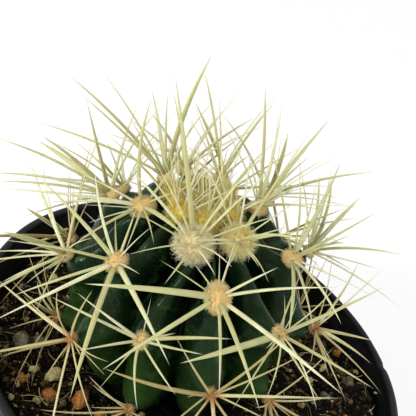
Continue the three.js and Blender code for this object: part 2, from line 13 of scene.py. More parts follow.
import bpy
import numpy as np
from mathutils import Matrix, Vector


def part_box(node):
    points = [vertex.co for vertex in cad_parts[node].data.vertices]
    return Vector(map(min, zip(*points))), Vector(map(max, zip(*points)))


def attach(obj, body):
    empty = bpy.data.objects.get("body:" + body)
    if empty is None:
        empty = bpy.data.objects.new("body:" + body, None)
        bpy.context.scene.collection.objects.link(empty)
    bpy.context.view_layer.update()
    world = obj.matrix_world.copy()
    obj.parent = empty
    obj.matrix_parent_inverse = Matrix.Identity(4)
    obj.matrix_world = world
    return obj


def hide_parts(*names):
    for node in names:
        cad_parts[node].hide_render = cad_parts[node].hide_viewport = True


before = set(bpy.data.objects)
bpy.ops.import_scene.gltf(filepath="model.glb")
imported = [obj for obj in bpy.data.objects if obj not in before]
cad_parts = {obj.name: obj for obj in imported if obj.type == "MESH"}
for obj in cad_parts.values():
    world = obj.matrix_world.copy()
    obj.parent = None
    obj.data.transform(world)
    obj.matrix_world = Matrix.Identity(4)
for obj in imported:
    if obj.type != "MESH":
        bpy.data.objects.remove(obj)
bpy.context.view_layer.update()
MM = 0.001

# %% [markdown]
# ## Meshes from arrays
#
# Every shape below is worked out with numpy, in millimetres, as arrays of points and of faces.
# Blender can take such arrays in one go, which is far quicker than adding vertices one by one.
# Each finished piece rides on the one body of this object, and hides the solids it stands for.
# Its signed volume tells at once whether its faces have come out the right way round.

# %% Arrays into pieces
CUBIC_CM = 1000         # one cubic centimetre in cubic millimetres


def link(name, data):
    """A new object in the scene, at the origin."""
    thing = bpy.data.objects.new(name, data)
    bpy.context.scene.collection.objects.link(thing)
    return thing


def signed_volume(points, faces):
    """The sum over all faces of the cones from the origin: above 0 where faces point outwards."""
    total = 0.0
    for corners in faces:
        first = points[corners[:, 0]]
        for k in range(1, corners.shape[1] - 1):
            cross = np.cross(points[corners[:, k]], points[corners[:, k + 1]])
            total += np.einsum("ij,ij->", first, cross) / 6
    return total


def add_piece(name, points, faces, material, slot, stands_for=(), **values):
    """One shaded object from points in mm, sets of equal-sided faces, and values at the points."""
    corners = np.concatenate([rows.ravel() for rows in faces]).astype(np.int32)
    sizes = np.concatenate([np.full(len(rows), rows.shape[1]) for rows in faces])
    mesh = bpy.data.meshes.new(name)
    mesh.vertices.add(len(points))
    mesh.vertices.foreach_set("co", (points * MM).astype(np.float32).ravel())
    mesh.loops.add(len(corners))
    mesh.loops.foreach_set("vertex_index", corners)
    mesh.polygons.add(len(sizes))
    mesh.polygons.foreach_set("loop_start", (np.cumsum(sizes) - sizes).astype(np.int32))
    mesh.update(calc_edges=True)
    mesh.polygons.foreach_set("use_smooth", np.ones(len(sizes), bool))
    for title, numbers in values.items():
        layer = mesh.attributes.new(title, "FLOAT", "POINT")
        layer.data.foreach_set("value", np.asarray(numbers, np.float32))
    mesh.materials.append(material)
    piece = link(name, mesh)
    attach(piece, "root")
    if stands_for:
        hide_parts(*stands_for)
    volume = signed_volume(points, faces) / CUBIC_CM
    facing = "outwards" if volume > 0 else "INWARDS"
    print(f"{name}: {len(sizes)} faces that point {facing}, {volume:.2f} cm3")
    return piece


print("solids to dress", len(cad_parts))

# %% Faces of grids and fans
def grid_faces(rows, columns):
    """Quads of a grid that closes round its columns; the rows run down with the faces outwards."""
    row, column = np.meshgrid(np.arange(rows - 1), np.arange(columns), indexing="ij")
    here, after = row * columns + column, row * columns + (column + 1) % columns
    return np.stack([here, here + columns, after + columns, after], -1).reshape(-1, 4)


def fan_faces(centre, ring, outwards=True):
    """Triangles from one point to the ring round it."""
    after = np.roll(ring, -1)
    pair = (ring, after) if outwards else (after, ring)
    return np.stack([np.full(len(ring), centre), *pair], -1)


def turned_shape(top, rows, foot):
    """A closed shape: rings of points from above to below, with a single point at either end."""
    count, sides = rows.shape[:2]
    points = np.concatenate([rows.reshape(-1, 3), [top, foot]])
    last = count * sides
    faces = [
        grid_faces(count, sides),
        fan_faces(last, np.arange(sides)),
        fan_faces(last + 1, np.arange(last - sides, last), outwards=False),
    ]
    return points, faces


print("quads between two rings of 8", len(grid_faces(2, 8)))

# %% [markdown]
# ## Shader maths as Python
#
# A finish is a network of nodes. Written by hand it soon becomes unreadable, so one small class
# stands for a socket and understands `+`, `-` and `*`, and one method makes any other node.
# Patterns read Object coordinates or values stored in the mesh, so they never slide. A finish is
# then put on like paint: a base colour, and coats over it that each cover a share of it.

# %% Sockets that can be added and multiplied
class Term:
    """A socket whose value can be used in sums, differences and products."""

    def __init__(self, finish, socket):
        self.finish = finish
        self.socket = socket

    def _math(self, operation, left, right):
        return self.finish.node("Math", {"operation": operation}, {0: left, 1: right})

    def __add__(self, other):
        return self._math("ADD", self, other)

    def __mul__(self, other):
        return self._math("MULTIPLY", self, other)

    def __sub__(self, other):
        return self._math("SUBTRACT", self, other)

    def __rsub__(self, other):
        return self._math("SUBTRACT", other, self)

    __radd__ = __add__
    __rmul__ = __mul__


def colour(red, green, blue):
    """A screen colour of 0 to 255 as the linear colour that shaders use."""
    share = np.array([red, green, blue]) / 255
    linear = np.where(share <= 0.04045, share / 12.92, ((share + 0.055) / 1.055) ** 2.4)
    return (*linear.tolist(), 1.0)


print("mid grey is", round(colour(128, 128, 128)[0], 3), "in linear light")

# %% A material under way
class Finish:
    """A material being made: a Principled shader and the nodes that feed it."""

    def __init__(self, name, **constants):
        self.material = bpy.data.materials.new(name)
        self.material.use_nodes = True
        self.tree = self.material.node_tree
        self.shader = self.tree.nodes["Principled BSDF"]
        for title, value in constants.items():
            self.shader.inputs[title.replace("_", " ")].default_value = value

    def node(self, kind, settings=None, inputs=None, output=0):
        """Makes a node: its settings first, then the numbers or links of its inputs."""
        made = self.tree.nodes.new("ShaderNode" + kind)
        for title, value in (settings or {}).items():
            if title == "stops":
                self._set_stops(made.color_ramp, value)
            else:
                setattr(made, title, value)
        for title, value in (inputs or {}).items():
            self._feed(made.inputs[title], value)
        return Term(self, made.outputs[output])

    def _set_stops(self, ramp, stops):
        while len(ramp.elements) < len(stops):
            ramp.elements.new(1.0)
        for element, (place, colour) in zip(ramp.elements, stops):
            element.position = place
            element.color = colour

    def _feed(self, socket, value):
        if isinstance(value, Term):
            self.tree.links.new(value.socket, socket)
        else:
            socket.default_value = value

    def feed(self, **inputs):
        """Feeds sockets of the Principled shader, with _ for a space in their names."""
        for title, value in inputs.items():
            self._feed(self.shader.inputs[title.replace("_", " ")], value)
        return self.material

    def place(self):
        """Object coordinates, which stay on the piece."""
        return self.node("TexCoord", output="Object")

    def noise(self, per_mm, detail=3.0, roughness=0.55, place=None):
        """Soft noise of 0 to 1 with so many features to the millimetre."""
        where = place or self.place()
        inputs = {"Vector": where, "Scale": per_mm / MM, "Detail": detail, "Roughness": roughness}
        return self.node("TexNoise", {}, inputs)

    def cells(self, per_mm):
        """Distance from the middle of the nearest cell, with so many cells to the millimetre."""
        return self.node("TexVoronoi", {}, {"Vector": self.place(), "Scale": per_mm / MM}, "Distance")

    def stored(self, title):
        """A value that was stored at the points of the mesh."""
        return self.node("Attribute", {"attribute_name": title}, output="Fac")

    def between(self, value, low, high):
        """Goes smoothly from 0 at low to 1 at high."""
        settings = {"interpolation_type": "SMOOTHSTEP"}
        return self.node("MapRange", settings, {"Value": value, "From Min": low, "From Max": high})

    def ramp(self, value, *stops):
        """Colours at places between 0 and 1."""
        return self.node("ValToRGB", {"stops": stops}, {"Fac": value})

    def blend(self, below, above, share):
        """One colour over another, by a share of 0 to 1."""
        return self.node("Mix", {"data_type": "RGBA"}, {0: share, 6: below, 7: above}, output=2)

    def layers(self, base, *coats):
        """Screen colours laid over a base one after another, each with its share."""
        for tint, share in coats:
            base = self.blend(base, colour(*tint), share)
        return base

    def bump(self, height, depth_mm, strength=1.0, after=None):
        """A normal from a height of 0 to 1 that stands for so many millimetres."""
        inputs = {"Height": height, "Distance": depth_mm * MM, "Strength": strength}
        if after is not None:
            inputs["Normal"] = after
        return self.node("Bump", {}, inputs)


print("helpers of a finish", [title for title in vars(Finish) if not title.startswith("_")])

# %% [markdown]
# ## Soft noise without a texture
#
# Natural shapes are never quite regular. A sum of sine waves in random directions is a cheap and
# repeatable way to press small unevenness into a mesh: the generator has a fixed seed, so the
# plant comes out the same on every run.

# %% Waves in random directions
def ripple(points, pitch, seed, waves=14):
    """Sum of sine waves of about one pitch in mm, in random directions, scaled to about -1 to 1."""
    draw = np.random.default_rng(seed)
    ways = draw.normal(size=(waves, points.shape[-1]))
    ways *= 2 * np.pi / pitch / np.linalg.norm(ways, axis=1, keepdims=True)
    ways *= draw.uniform(0.6, 1.5, (waves, 1))
    phase = draw.uniform(0, 2 * np.pi, waves)
    return np.sin(points @ ways.T + phase).sum(-1) / math.sqrt(waves * 2)


def unit(vectors):
    """Vectors scaled to length 1."""
    return vectors / np.maximum(np.linalg.norm(vectors, axis=-1, keepdims=True), 1e-12)


print("ripple of one point", round(float(ripple(np.zeros((1, 3)), 5, 1)[0]), 3))

# %% [markdown]
# ## The camera
#
# The photograph looks down on the plant from close by, and the camera was held askew: the image
# is turned by a fifth of a right angle. Its place was worked out from the oval of the rim and
# from the rows of areoles. The field of view is that of the same working, for a square image.

# %% The camera, at the photograph's place
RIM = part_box("pot")[1].z / MM
CAMERA_PLACE = np.array([-6.9, -103.5, RIM + 97.7])
CAMERA_DOWN = math.radians(32.05)
CAMERA_ROLL = math.radians(20.02)
SENSOR = 36
FOCUS_PER_IMAGE = 1.408         # focal length against the width of the square image
NEAREST = 0.01                  # metres from the camera at which the picture starts


def aim(thing, right, above, back, place):
    """Turns a camera or a lamp, which looks along its own -Z, and puts it at a place in mm."""
    pose = np.eye(4)
    pose[:3, :3] = np.stack([right, above, back], axis=1)
    pose[:3, 3] = place * MM
    thing.matrix_world = Matrix(pose.tolist())


ahead = np.array([0, math.cos(CAMERA_DOWN), -math.sin(CAMERA_DOWN)])
level = np.array([1.0, 0, 0])
upright = np.array([0, math.sin(CAMERA_DOWN), math.cos(CAMERA_DOWN)])
right = math.cos(CAMERA_ROLL) * level + math.sin(CAMERA_ROLL) * upright
above = -math.sin(CAMERA_ROLL) * level + math.cos(CAMERA_ROLL) * upright

lens = bpy.data.cameras.new("camera")
lens.sensor_width = SENSOR
lens.lens = FOCUS_PER_IMAGE * SENSOR
lens.clip_start = NEAREST
camera = link("camera", lens)
aim(camera, right, above, -ahead, CAMERA_PLACE)
bpy.context.scene.camera = camera
print("camera at", CAMERA_PLACE.tolist(), "lens", round(lens.lens, 1))

# %% [markdown]
# ## The pot
#
# A nursery pot is blown or moulded from thin black plastic: a tapering wall, a stiffer collar,
# and a rolled lip that the hand has squeezed a little out of round. It could be a cylinder with
# loops cut into it, but it is simpler as a profile carried round an axis. The profile has many
# points along its straight runs, so that the wall can be dented later, and arcs at its edges.

# %% Sizes of the pot
POT_LIP = 50.0          # outer radius of the lip, before the oval
POT_FOOT = 36.0         # outer radius of the flat foot
POT_WALL = 1.1
POT_FLOOR = 1.6
LIP_WIDTH = 1.9
LIP_DROP = 3.2
COLLAR_DROP = 15.0
COLLAR_STEP = 0.9
EDGE = 0.8              # rounding where the wall meets the floor and the foot
FINE_EDGE = 0.4         # rounding under the lip and under the collar
WALL_START = 4.0        # height from which the inner wall is straight
LIP_TURN = 1.0          # how far under the lip it starts to turn outwards
CENTRE = 0.2            # radius of the first and the last ring of points


def inner_wall(z):
    """Radius of the inner wall: it widens evenly from the foot to the lip."""
    return POT_FOOT - POT_WALL + (POT_LIP - LIP_WIDTH - POT_FOOT + POT_WALL) * np.clip(z / RIM, 0, 1)


def arc(centre, radius, start, end, steps):
    """Points of a round stretch between two angles in degrees."""
    turn = np.radians(np.linspace(start, end, steps))
    return np.stack([centre[0] + radius * np.cos(turn), centre[1] + radius * np.sin(turn)], -1)


def straight(start, end, steps):
    """Evenly spaced points between two places, without the last."""
    share = np.linspace(0, 1, steps, endpoint=False)[:, None]
    return np.array(start) * (1 - share) + np.array(end) * share


print("inner radius at the foot and the lip", np.round(inner_wall(np.array([0, RIM])), 2).tolist())

# %% Profile of the pot
def pot_profile():
    """Radius and height from the middle of the inner floor over the lip to the outer foot.

    Small offsets keep the first point of a stretch off the last one of the stretch before it.
    """
    collar = RIM - COLLAR_DROP
    lip = RIM - LIP_DROP
    roll = LIP_WIDTH / 2
    step_out = inner_wall(collar) + POT_WALL + COLLAR_STEP
    floor_edge = inner_wall(POT_FLOOR) - EDGE
    wall_end = [inner_wall(lip - LIP_TURN), lip - LIP_TURN]
    return np.concatenate([
        straight([CENTRE, POT_FLOOR], [floor_edge, POT_FLOOR], 10),
        arc([floor_edge, POT_FLOOR + EDGE], EDGE, -90, 0, 5),
        straight([inner_wall(WALL_START), WALL_START], wall_end, 26),
        straight(wall_end, [POT_LIP - LIP_WIDTH + 0.1, RIM - roll], 4),
        arc([POT_LIP - roll, RIM - roll], roll, 180, 0, 13),
        straight([POT_LIP, RIM - roll - 0.3], [POT_LIP, lip + FINE_EDGE], 3),
        arc([POT_LIP - FINE_EDGE, lip + FINE_EDGE], FINE_EDGE, 0, -90, 4),
        straight([inner_wall(lip) + POT_WALL + COLLAR_STEP, lip - 0.25], [step_out, collar + EDGE], 8),
        arc([step_out - FINE_EDGE, collar + FINE_EDGE], FINE_EDGE, 0, -90, 4),
        straight([inner_wall(collar) + POT_WALL, collar - 0.2], [POT_FOOT, EDGE], 22),
        arc([POT_FOOT - EDGE, EDGE], EDGE, 0, -90, 5),
        straight([POT_FOOT - EDGE - 0.5, 0], [CENTRE, 0], 10),
    ])


profile = pot_profile()
print("profile points", len(profile), "widest", round(float(profile[:, 0].max()), 2))

# %% [markdown]
# The wall is thin, so it is nowhere quite true. The mouth is pressed oval, slow waves run round
# the wall, the inside shows the flutes of its mould, and in one place the lip has been folded
# and a crease runs down from it. Sculpting would do, but all of these are small changes of the
# radius by the turn and the height, so a formula gives them and can be changed later.

# %% The pot's surface
POT_SIDES = 240
OVAL = 0.045                    # share by which the mouth is pressed out of round
OVAL_TURN = math.radians(152)
OVAL_POWER = 1.5                # how late on the way up the oval sets in
SLOW_WAVES = ((0.16, 3, 0.6), (0.1, 7, 2.0), (0.05, 16, 0.0))    # mm, waves round, phase
FLUTES = 40
FLUTE_HEIGHT = 0.05
CREASE_TURN = math.radians(12)
CREASE_DRIFT = 0.006            # radians that it moves round for each mm down
CREASE_DEPTH = 0.55
CREASE_WIDTH = 0.018            # radians to either side
CREASE_LENGTH = 18.0
WALL_FADE = 6.0                 # mm above the foot in which all this sets in
FLAT_FLOOR = 20.0               # radius up to which the floor stays flat


def pot_radius_change(turn, z, inside):
    """Millimetres to add: slow waves that grow with height, flutes inside, and one crease."""
    height = np.clip(z / RIM, 0, 1)
    waves = sum(size * np.sin(count * turn + phase) for size, count, phase in SLOW_WAVES)
    flutes = FLUTE_HEIGHT * np.sin(FLUTES * turn) ** 3 * inside
    crease_turn = CREASE_TURN + CREASE_DRIFT * (RIM - z)
    away = (turn - crease_turn + np.pi) % (2 * np.pi) - np.pi
    near_lip = np.clip((z - RIM + CREASE_LENGTH) / CREASE_LENGTH, 0, 1)
    crease = -CREASE_DEPTH * np.exp(-((away / CREASE_WIDTH) ** 2)) * near_lip
    return waves * height ** 2 + flutes + crease


def oval_at(turn, z):
    """The radius is multiplied by this: rounder towards the foot, oval at the mouth."""
    return 1 + OVAL * np.clip(z / RIM, 0, 1) ** OVAL_POWER * np.cos(2 * (turn - OVAL_TURN))


def pot_points():
    """The profile carried round the axis and pressed oval."""
    turn = np.linspace(0, 2 * np.pi, POT_SIDES, endpoint=False)[None, :]
    radius = profile[:, :1]
    z = profile[:, 1:] + 0 * turn
    lip_row = int(np.argmax(profile[:, 1]))
    inside = (np.arange(len(profile)) < lip_row)[:, None]
    wall = np.clip((z - EDGE) / WALL_FADE, 0, 1) * (radius > FLAT_FLOOR)
    wide = (radius + pot_radius_change(turn, z, inside) * wall) * oval_at(turn, z)
    return np.stack([wide * np.cos(turn), wide * np.sin(turn), z], -1)


pot_shape = turned_shape([0, 0, POT_FLOOR], pot_points(), [0, 0, 0])
print("pot spans", np.round(np.ptp(pot_shape[0], axis=0), 1).tolist(), "mm")

# %% [markdown]
# Black polypropylene is never pure black. It has a soft sheen, fine scratches, and a haze of
# lime and dust where water has dried. A photograph of plastic would slide or repeat; a dark base
# with a little noise in colour, roughness and bump gives all of that at the right scale.

# %% Black plastic
def black_plastic():
    """Dark grey with dusty patches, fine scratches that run round, and a grained bump."""
    finish = Finish("pot_plastic", Specular_IOR_Level=0.22)
    dust = finish.between(finish.noise(0.09, 5), 0.45, 0.75)
    speckle_and_pit_shade = finish.between(finish.noise(1.6, 2), 0.62, 0.78)
    stretch = finish.node("Mapping", {}, {"Vector": finish.place(), "Scale": (1.0, 1.0, 9.0)})
    scratches = finish.noise(0.5, 6, 0.7, stretch)
    coats = ((30, 32, 34), dust * 0.5), ((96, 90, 78), speckle_and_pit_shade * dust * 0.2)
    base = finish.layers(colour(12, 13, 15), *coats)
    grain = finish.noise(3.0, 2)
    rough = 0.36 + dust * 0.2 + scratches * 0.12
    normal = finish.bump(scratches, 0.05, 0.5)
    return finish.feed(Base_Color=base, Roughness=rough, Normal=finish.bump(grain, 0.02, 0.6, normal))


pot_plastic = black_plastic()
print("made", pot_plastic.name)

# %% [markdown]
# Water has to run out, so eight round holes are cut in the foot. They could be built into the
# rings of points, but a Boolean modifier drills them through the finished shape with less to
# work out. It is applied at once, so the piece is a plain mesh again.

# %% The pot, with its drain holes cut
DRAIN_COUNT = 8
DRAIN_RADIUS = 3.2
DRAIN_RING = 25.0
DRILL_SIDES = 28
DRILL_ENDS = (4.0, -2.0)        # heights of a drill's top and foot
SHARP_EDGE = math.radians(40)

pot = add_piece("nursery_pot", *pot_shape, pot_plastic, "pot", ["pot"])


def drain_drills():
    """Upright cylinders, evenly spaced on the ring of drain holes."""
    turn = np.linspace(0, 2 * np.pi, DRILL_SIDES, endpoint=False)
    circle = DRAIN_RADIUS * np.stack([np.cos(turn), np.sin(turn)], -1)
    parts = []
    for k in range(DRAIN_COUNT):
        place = (k + 0.5) * 2 * np.pi / DRAIN_COUNT
        centre = DRAIN_RING * np.array([np.cos(place), np.sin(place)])
        rings = np.stack([np.column_stack([centre + circle, np.full(DRILL_SIDES, z)]) for z in DRILL_ENDS])
        top, foot = [[*centre, z] for z in DRILL_ENDS]
        parts.append(turned_shape(top, rings, foot))
    return parts


def cut(piece, parts):
    """Subtracts closed shapes from a piece with a Boolean that is applied at once."""
    for points, faces in parts:
        mesh = bpy.data.meshes.new("drill")
        mesh.from_pydata((points * MM).tolist(), [], [row for rows in faces for row in rows.tolist()])
        drill = link("drill", mesh)
        boolean = piece.modifiers.new("hole", "BOOLEAN")
        boolean.object = drill
        boolean.operation = "DIFFERENCE"
        boolean.solver = "EXACT"
        seen = piece.evaluated_get(bpy.context.evaluated_depsgraph_get())
        made = bpy.data.meshes.new_from_object(seen)
        piece.modifiers.clear()
        piece.data = made
        bpy.data.objects.remove(drill)
    piece.data.polygons.foreach_set("use_smooth", np.ones(len(piece.data.polygons), bool))


cut(pot, drain_drills())
pot.data.set_sharp_from_angle(angle=SHARP_EDGE)
print("pot faces after drilling", len(pot.data.polygons))

# %% [markdown]
# ## The body of the plant
#
# The plant is one growth: twelve ribs round a ball, which swell where they bear an areole, and a
# collar that goes down into the soil. It could be sculpted from a ball, but then it would drift
# away from the frame's solid. So it is one surface of two parameters, the place along the ribs
# and the place on the outline, with the formula that the solid was made with. The skin then lies
# where the solid does, only with far more points and a little unevenness.

# %% The plant's own frame
BODY_RADIUS = 25.4
BODY_WIDEST = 14.0      # height of the widest place; heights count from the level of the rim
BODY_ABOVE = 21.5       # from there up to the crown
BODY_BELOW = 29.2       # and down to the low end of the outline
BODY_BURIED = -17.0     # where the root collar is cut off
TOP_POWER = 1.93        # of the superellipse over the widest place
LOW_POWER = 2.1         # and under it
RIBS = 12
RIB_PITCH = 2 * math.pi / RIBS
RIB_DEPTH = 7.1
RIB_ROUND = 1.8         # power of the curve from crest to valley
RIB_SWELL = 2.4
SWELL_REACH = 3.2
CHIN = 0.7              # how far below its areole a swelling is highest
VALLEYS = (3, 14)       # radius at which the valleys start, and at which they are full
VALLEY_FOOT = 9         # they fade out over so much height above the buried end
SWELLS_FULL = 8         # radius from which the swellings have their full height
DIMPLE = 0.8
DIMPLE_REACH = 5
FIRST_RIB = math.radians(21.5 - 90)     # 21.5 degrees round from the front
BENT_RIBS = ((11, math.radians(13.5)), (1, math.radians(-5)))    # rib, how far it leans over
BENT_WITHIN = (12, 21)  # radius up to which a rib is fully bent, and from which it is straight
BENT_SPREAD = 0.87      # in ribs
ROWS = {
    # row: (0 on the even ribs or 1 on the odd ones, height of its areoles)
    "young": (0, 34.95), "row1": (1, 33.6), "row2": (0, 29.45),
    "row3": (1, 23.1), "row4": (0, 15.75), "row5": (1, 7.1),
}
LEAN = np.radians([5.7, -7.6])
SEAT = np.array([-1.7, -1.2, RIM - 12])      # the point about which the plant leans


def lean_matrix():
    """Turns the plant first about X, then about Y."""
    cx, sx = math.cos(LEAN[0]), math.sin(LEAN[0])
    cy, sy = math.cos(LEAN[1]), math.sin(LEAN[1])
    about_x = np.array([[1, 0, 0], [0, cx, -sx], [0, sx, cx]])
    about_y = np.array([[cy, 0, sy], [0, 1, 0], [-sy, 0, cy]])
    return about_y @ about_x


PLANT = lean_matrix()


def to_pot(points):
    """From the plant's frame, with z from the level of the rim, to the pot's frame."""
    return (points + [0, 0, RIM - SEAT[2]]) @ PLANT.T + SEAT


def to_plant(points):
    """The way back, from the pot's frame to the plant's."""
    return (points - SEAT) @ PLANT - [0, 0, RIM - SEAT[2]]


crown = np.array([0, 0, BODY_WIDEST + BODY_ABOVE - DIMPLE])
print("crown of the plant at", np.round(to_pot(crown), 1).tolist())

# %% Outline, and the two bent ribs
def outline(t):
    """Superellipse: sine of the angle outwards, and powers of its cosine up and down."""
    angle = t * np.pi / 2
    rise = BODY_ABOVE * np.abs(np.cos(angle)) ** (2 / TOP_POWER)
    fall = BODY_BELOW * np.abs(np.cos(angle)) ** (2 / LOW_POWER)
    return BODY_RADIUS * np.sin(angle), BODY_WIDEST + np.where(t <= 1, rise, -fall)


def buried_end():
    """The place on the outline where the buried root collar is cut off, by bisection."""
    low, high = 1.0, 2.0
    for _ in range(40):
        middle = (low + high) / 2
        low, high = (middle, high) if outline(np.array(middle))[1] > BODY_BURIED else (low, middle)
    return low


def bend(along, r):
    """Two ribs lean sideways near the crown: a bell curve over the ribs, fading out with r."""
    full, straight_from = BENT_WITHIN
    near = np.clip((straight_from - r) / (straight_from - full), 0, 1)
    total = 0 * along
    for rib, angle in BENT_RIBS:
        away = (along - rib + RIBS / 2) % RIBS - RIBS / 2
        total = total + angle * np.exp(-((away / BENT_SPREAD) ** 2))
    return total * near * near * (3 - 2 * near)


print("the outline runs from 0 at the crown to", round(buried_end(), 3))

# %% The ribbed skin
RIB_COLUMNS = 24        # columns of points to a rib
SKIN_ROWS = 150
FIRST_ROW = 0.006       # share of the way down
ROW_POWER = 0.95        # under 1, it brings the rows a little closer low down
SMOOTH_CROWN = 10       # radius from which the skin has its full unevenness
UNEVENNESS = ((0.2, 13, 3), (0.06, 4, 4))    # mm, pitch in mm, seed


def skin(along, t):
    """Outline less the valleys between ribs, plus the swelling at areoles and slight waves."""
    r, z = outline(t)
    rib = np.round(along)
    crest = 1 - np.minimum(1, np.abs(2 * (along - rib))) ** RIB_ROUND
    start, full = VALLEYS
    fade = np.clip((z - BODY_BURIED) / VALLEY_FOOT, 0, 1)
    depth = RIB_DEPTH * np.clip((r - start) / (full - start), 0, 1) * fade
    swell = np.zeros_like(r + along)
    for odd, height in ROWS.values():
        mine = np.abs(rib) % 2 == odd
        swell = np.maximum(swell, mine * np.exp(-(((z + CHIN - height) / SWELL_REACH) ** 2)))
    rise = RIB_SWELL * swell * crest * np.clip(r / SWELLS_FULL, 0, 1) - depth * (1 - crest)
    turn = FIRST_RIB + along * RIB_PITCH + bend(along, r)
    radius = np.maximum(0, r + rise * np.sin(t * np.pi / 2))
    height = z - DIMPLE * np.exp(-((r / DIMPLE_REACH) ** 2)) + rise * np.cos(t * np.pi / 2)
    points = np.stack([radius * np.cos(turn), radius * np.sin(turn), height + 0 * turn], -1)
    grown = np.clip(r / SMOOTH_CROWN, 0, 1)[..., None]
    outwards = unit(points * [1, 1, 0.6])
    uneven = sum(size * ripple(points, pitch, seed) for size, pitch, seed in UNEVENNESS)
    return points + outwards * grown * uneven[..., None]


def skin_grid():
    """The two parameters on a grid: along the ribs, and down the outline by a power of the share."""
    along = np.linspace(-0.5, RIBS - 0.5, RIBS * RIB_COLUMNS, endpoint=False)[None, :]
    return along, (buried_end() * np.linspace(FIRST_ROW, 1, SKIN_ROWS) ** ROW_POWER)[:, None]


along, t = skin_grid()
rows = skin(along, t)
body_points, body_faces = turned_shape(crown, rows, [0, 0, BODY_BURIED])
crest_share = np.concatenate([(1 - np.abs(2 * (along - np.round(along))) + 0 * t).ravel(), [0, 0]])
height_share = np.concatenate([((rows[..., 2] - BODY_BURIED) / (crown[2] - BODY_BURIED)).ravel(), [1, 0]])
print("body points", len(body_points), "widest", round(float(np.abs(body_points[:, :2]).max()), 1))

# %% [markdown]
# The skin is a deep green that is bluer and darker near the crown and fresher low down. It is
# waxy, so it glints, but it throws back green more than white: the specular colour is tinted.
# Pale pores are strewn over it. Shade is painted into the valleys between the ribs, and light
# onto their crests. A painted texture would need seams, so two values stored at the points tell
# the shader how near the crest of a rib is, and how high up the plant.

# %% Green skin
def green_skin():
    """Greens by height and noise, painted valley shade and crest light, pale pores and a fine bump."""
    finish = Finish("cactus_skin", Specular_IOR_Level=0.22, Specular_Tint=(0.4, 0.62, 0.36, 1.0))
    height = finish.stored("height")
    crest = finish.stored("crest")
    clouds = finish.noise(0.12, 4)
    fresh = finish.between(height + clouds * 0.3, 1.05, 0.45)
    pores = finish.between(finish.cells(1.5), 0.12, 0.05) * finish.between(finish.noise(0.25), 0.4, 0.6)
    base = finish.layers(
        colour(8, 21, 11),
        ((40, 65, 24), fresh),
        # painted shade: the valleys between the ribs are darkened, where the light reaches least
        ((4, 11, 5), finish.between(crest, 0.5, 0.0) * 0.8),
        ((58, 86, 42), finish.between(finish.noise(0.3, 6, 0.7), 0.5, 0.7) * 0.5),
        # painted light: the crests of the ribs are made paler, where the light falls on them
        ((58, 88, 48), finish.between(crest, 0.6, 1.0) * 0.14),
        ((122, 134, 100), pores * 0.45),
    )
    rough = 0.1 + finish.noise(0.4, 4) * 0.2 + pores * 0.2
    normal = finish.bump(finish.noise(0.4, 3), 0.25, 0.6)
    normal = finish.bump(finish.cells(2.2), 0.05, 0.5, normal)
    return finish.feed(Base_Color=base, Roughness=rough, Normal=normal)


add_piece(
    "ribbed_body", to_pot(body_points), body_faces, green_skin(), "body", ["cactus_body"],
    crest=crest_share, height=height_share,
)

# %% [markdown]
# ## The soil
#
# Cactus soil is peat and bark opened up with grit. Modelling every grain down to the foot would
# be a waste, so there is one ground, and loose grains on it. The ground is a height over the
# plan: the slope, waves and clods of the frame's fill, with lumps pressed in by finer ripples.
# Its rim lies against the inner wall, and its underside shows in the drain holes.

# %% Ground under the crumbs
SOIL_LEVEL = -6.5       # from the level of the rim
SOIL_SLOPE = (0.05, -0.08)
SOIL_BUMP = 0.8
SOIL_WAVE = (0.31, 0.27)
CROSS_WAVE = (0.6, 0.4, -0.7)   # height and pitches against the first wave
SOIL_CLOD = 0.5         # height of the clods that the frame's fill has too
CLOD_WAVE = (0.85, 0.8)
CLOD_TWIST = (0.8, 0.65)
SOIL_GAP = 0.35         # between the fill and the pot's wall
SOIL_INSET = 0.6        # and what keeps it off the flat sides of the frame's pot
FOOT_INSET = 1.8
CRUMB_ROOM = 0.5        # the ground lies so much lower, to make room for loose crumbs
GROUND_COLUMNS = 300
GROUND_ROWS = 150
FIRST_RING = 0.004      # share of the way out
SOIL_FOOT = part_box("soil")[0].z / MM


def soil_height(x, y):
    """A slope with two crossing waves and rows of clods that wander, in the pot's frame."""
    wave_x, wave_y = SOIL_WAVE
    waves = np.sin(x * wave_x + 1) * np.cos(y * wave_y)
    height, pitch_x, pitch_y = CROSS_WAVE
    waves = waves + height * np.sin(pitch_x * x * wave_x + pitch_y * y * wave_y + 2)
    clod_x, clod_y = CLOD_WAVE
    twist, pitch = CLOD_TWIST
    clods = np.sin(x * clod_x + twist * np.sin(pitch * y)) * np.cos(y * clod_y + twist * np.sin(pitch * x))
    slope = SOIL_SLOPE[0] * x + SOIL_SLOPE[1] * y
    return RIM + SOIL_LEVEL + slope + SOIL_BUMP * waves + SOIL_CLOD * clods


def soil_edge(turn):
    """Radius at which the soil meets the wall."""
    lowest = RIM + SOIL_LEVEL - 2 * SOIL_BUMP
    return (inner_wall(lowest) - SOIL_GAP) * oval_at(turn, RIM) - SOIL_INSET


def crumbly(x, y):
    """The soil's height with finer lumps, a little low to make room for loose crumbs."""
    flat = np.stack([x, y], -1)
    lumps = 0.15 * ripple(flat, pitch=7, seed=11) + 0.24 * np.abs(ripple(flat, pitch=2.6, seed=12))
    return soil_height(x, y) + (lumps + 0.12 * ripple(flat, pitch=1.2, seed=13)) - CRUMB_ROOM


def ground_rings():
    """Rings from the middle out to the wall, and a last one at the foot of the fill."""
    turn = np.linspace(0, 2 * np.pi, GROUND_COLUMNS, endpoint=False)[None, :]
    radius = np.linspace(FIRST_RING, 1, GROUND_ROWS)[:, None] * soil_edge(turn)
    x, y = radius * np.cos(turn), radius * np.sin(turn)
    foot = inner_wall(SOIL_FOOT) - FOOT_INSET
    low = np.stack([foot * np.cos(turn), foot * np.sin(turn), SOIL_FOOT + 0 * turn], -1)
    return np.concatenate([np.stack([x, y, crumbly(x, y)], -1), low])


middle = [0, 0, float(crumbly(0.0, 0.0))]
soil_points, soil_faces = turned_shape(middle, ground_rings(), [0, 0, SOIL_FOOT])
print("soil points", len(soil_points))

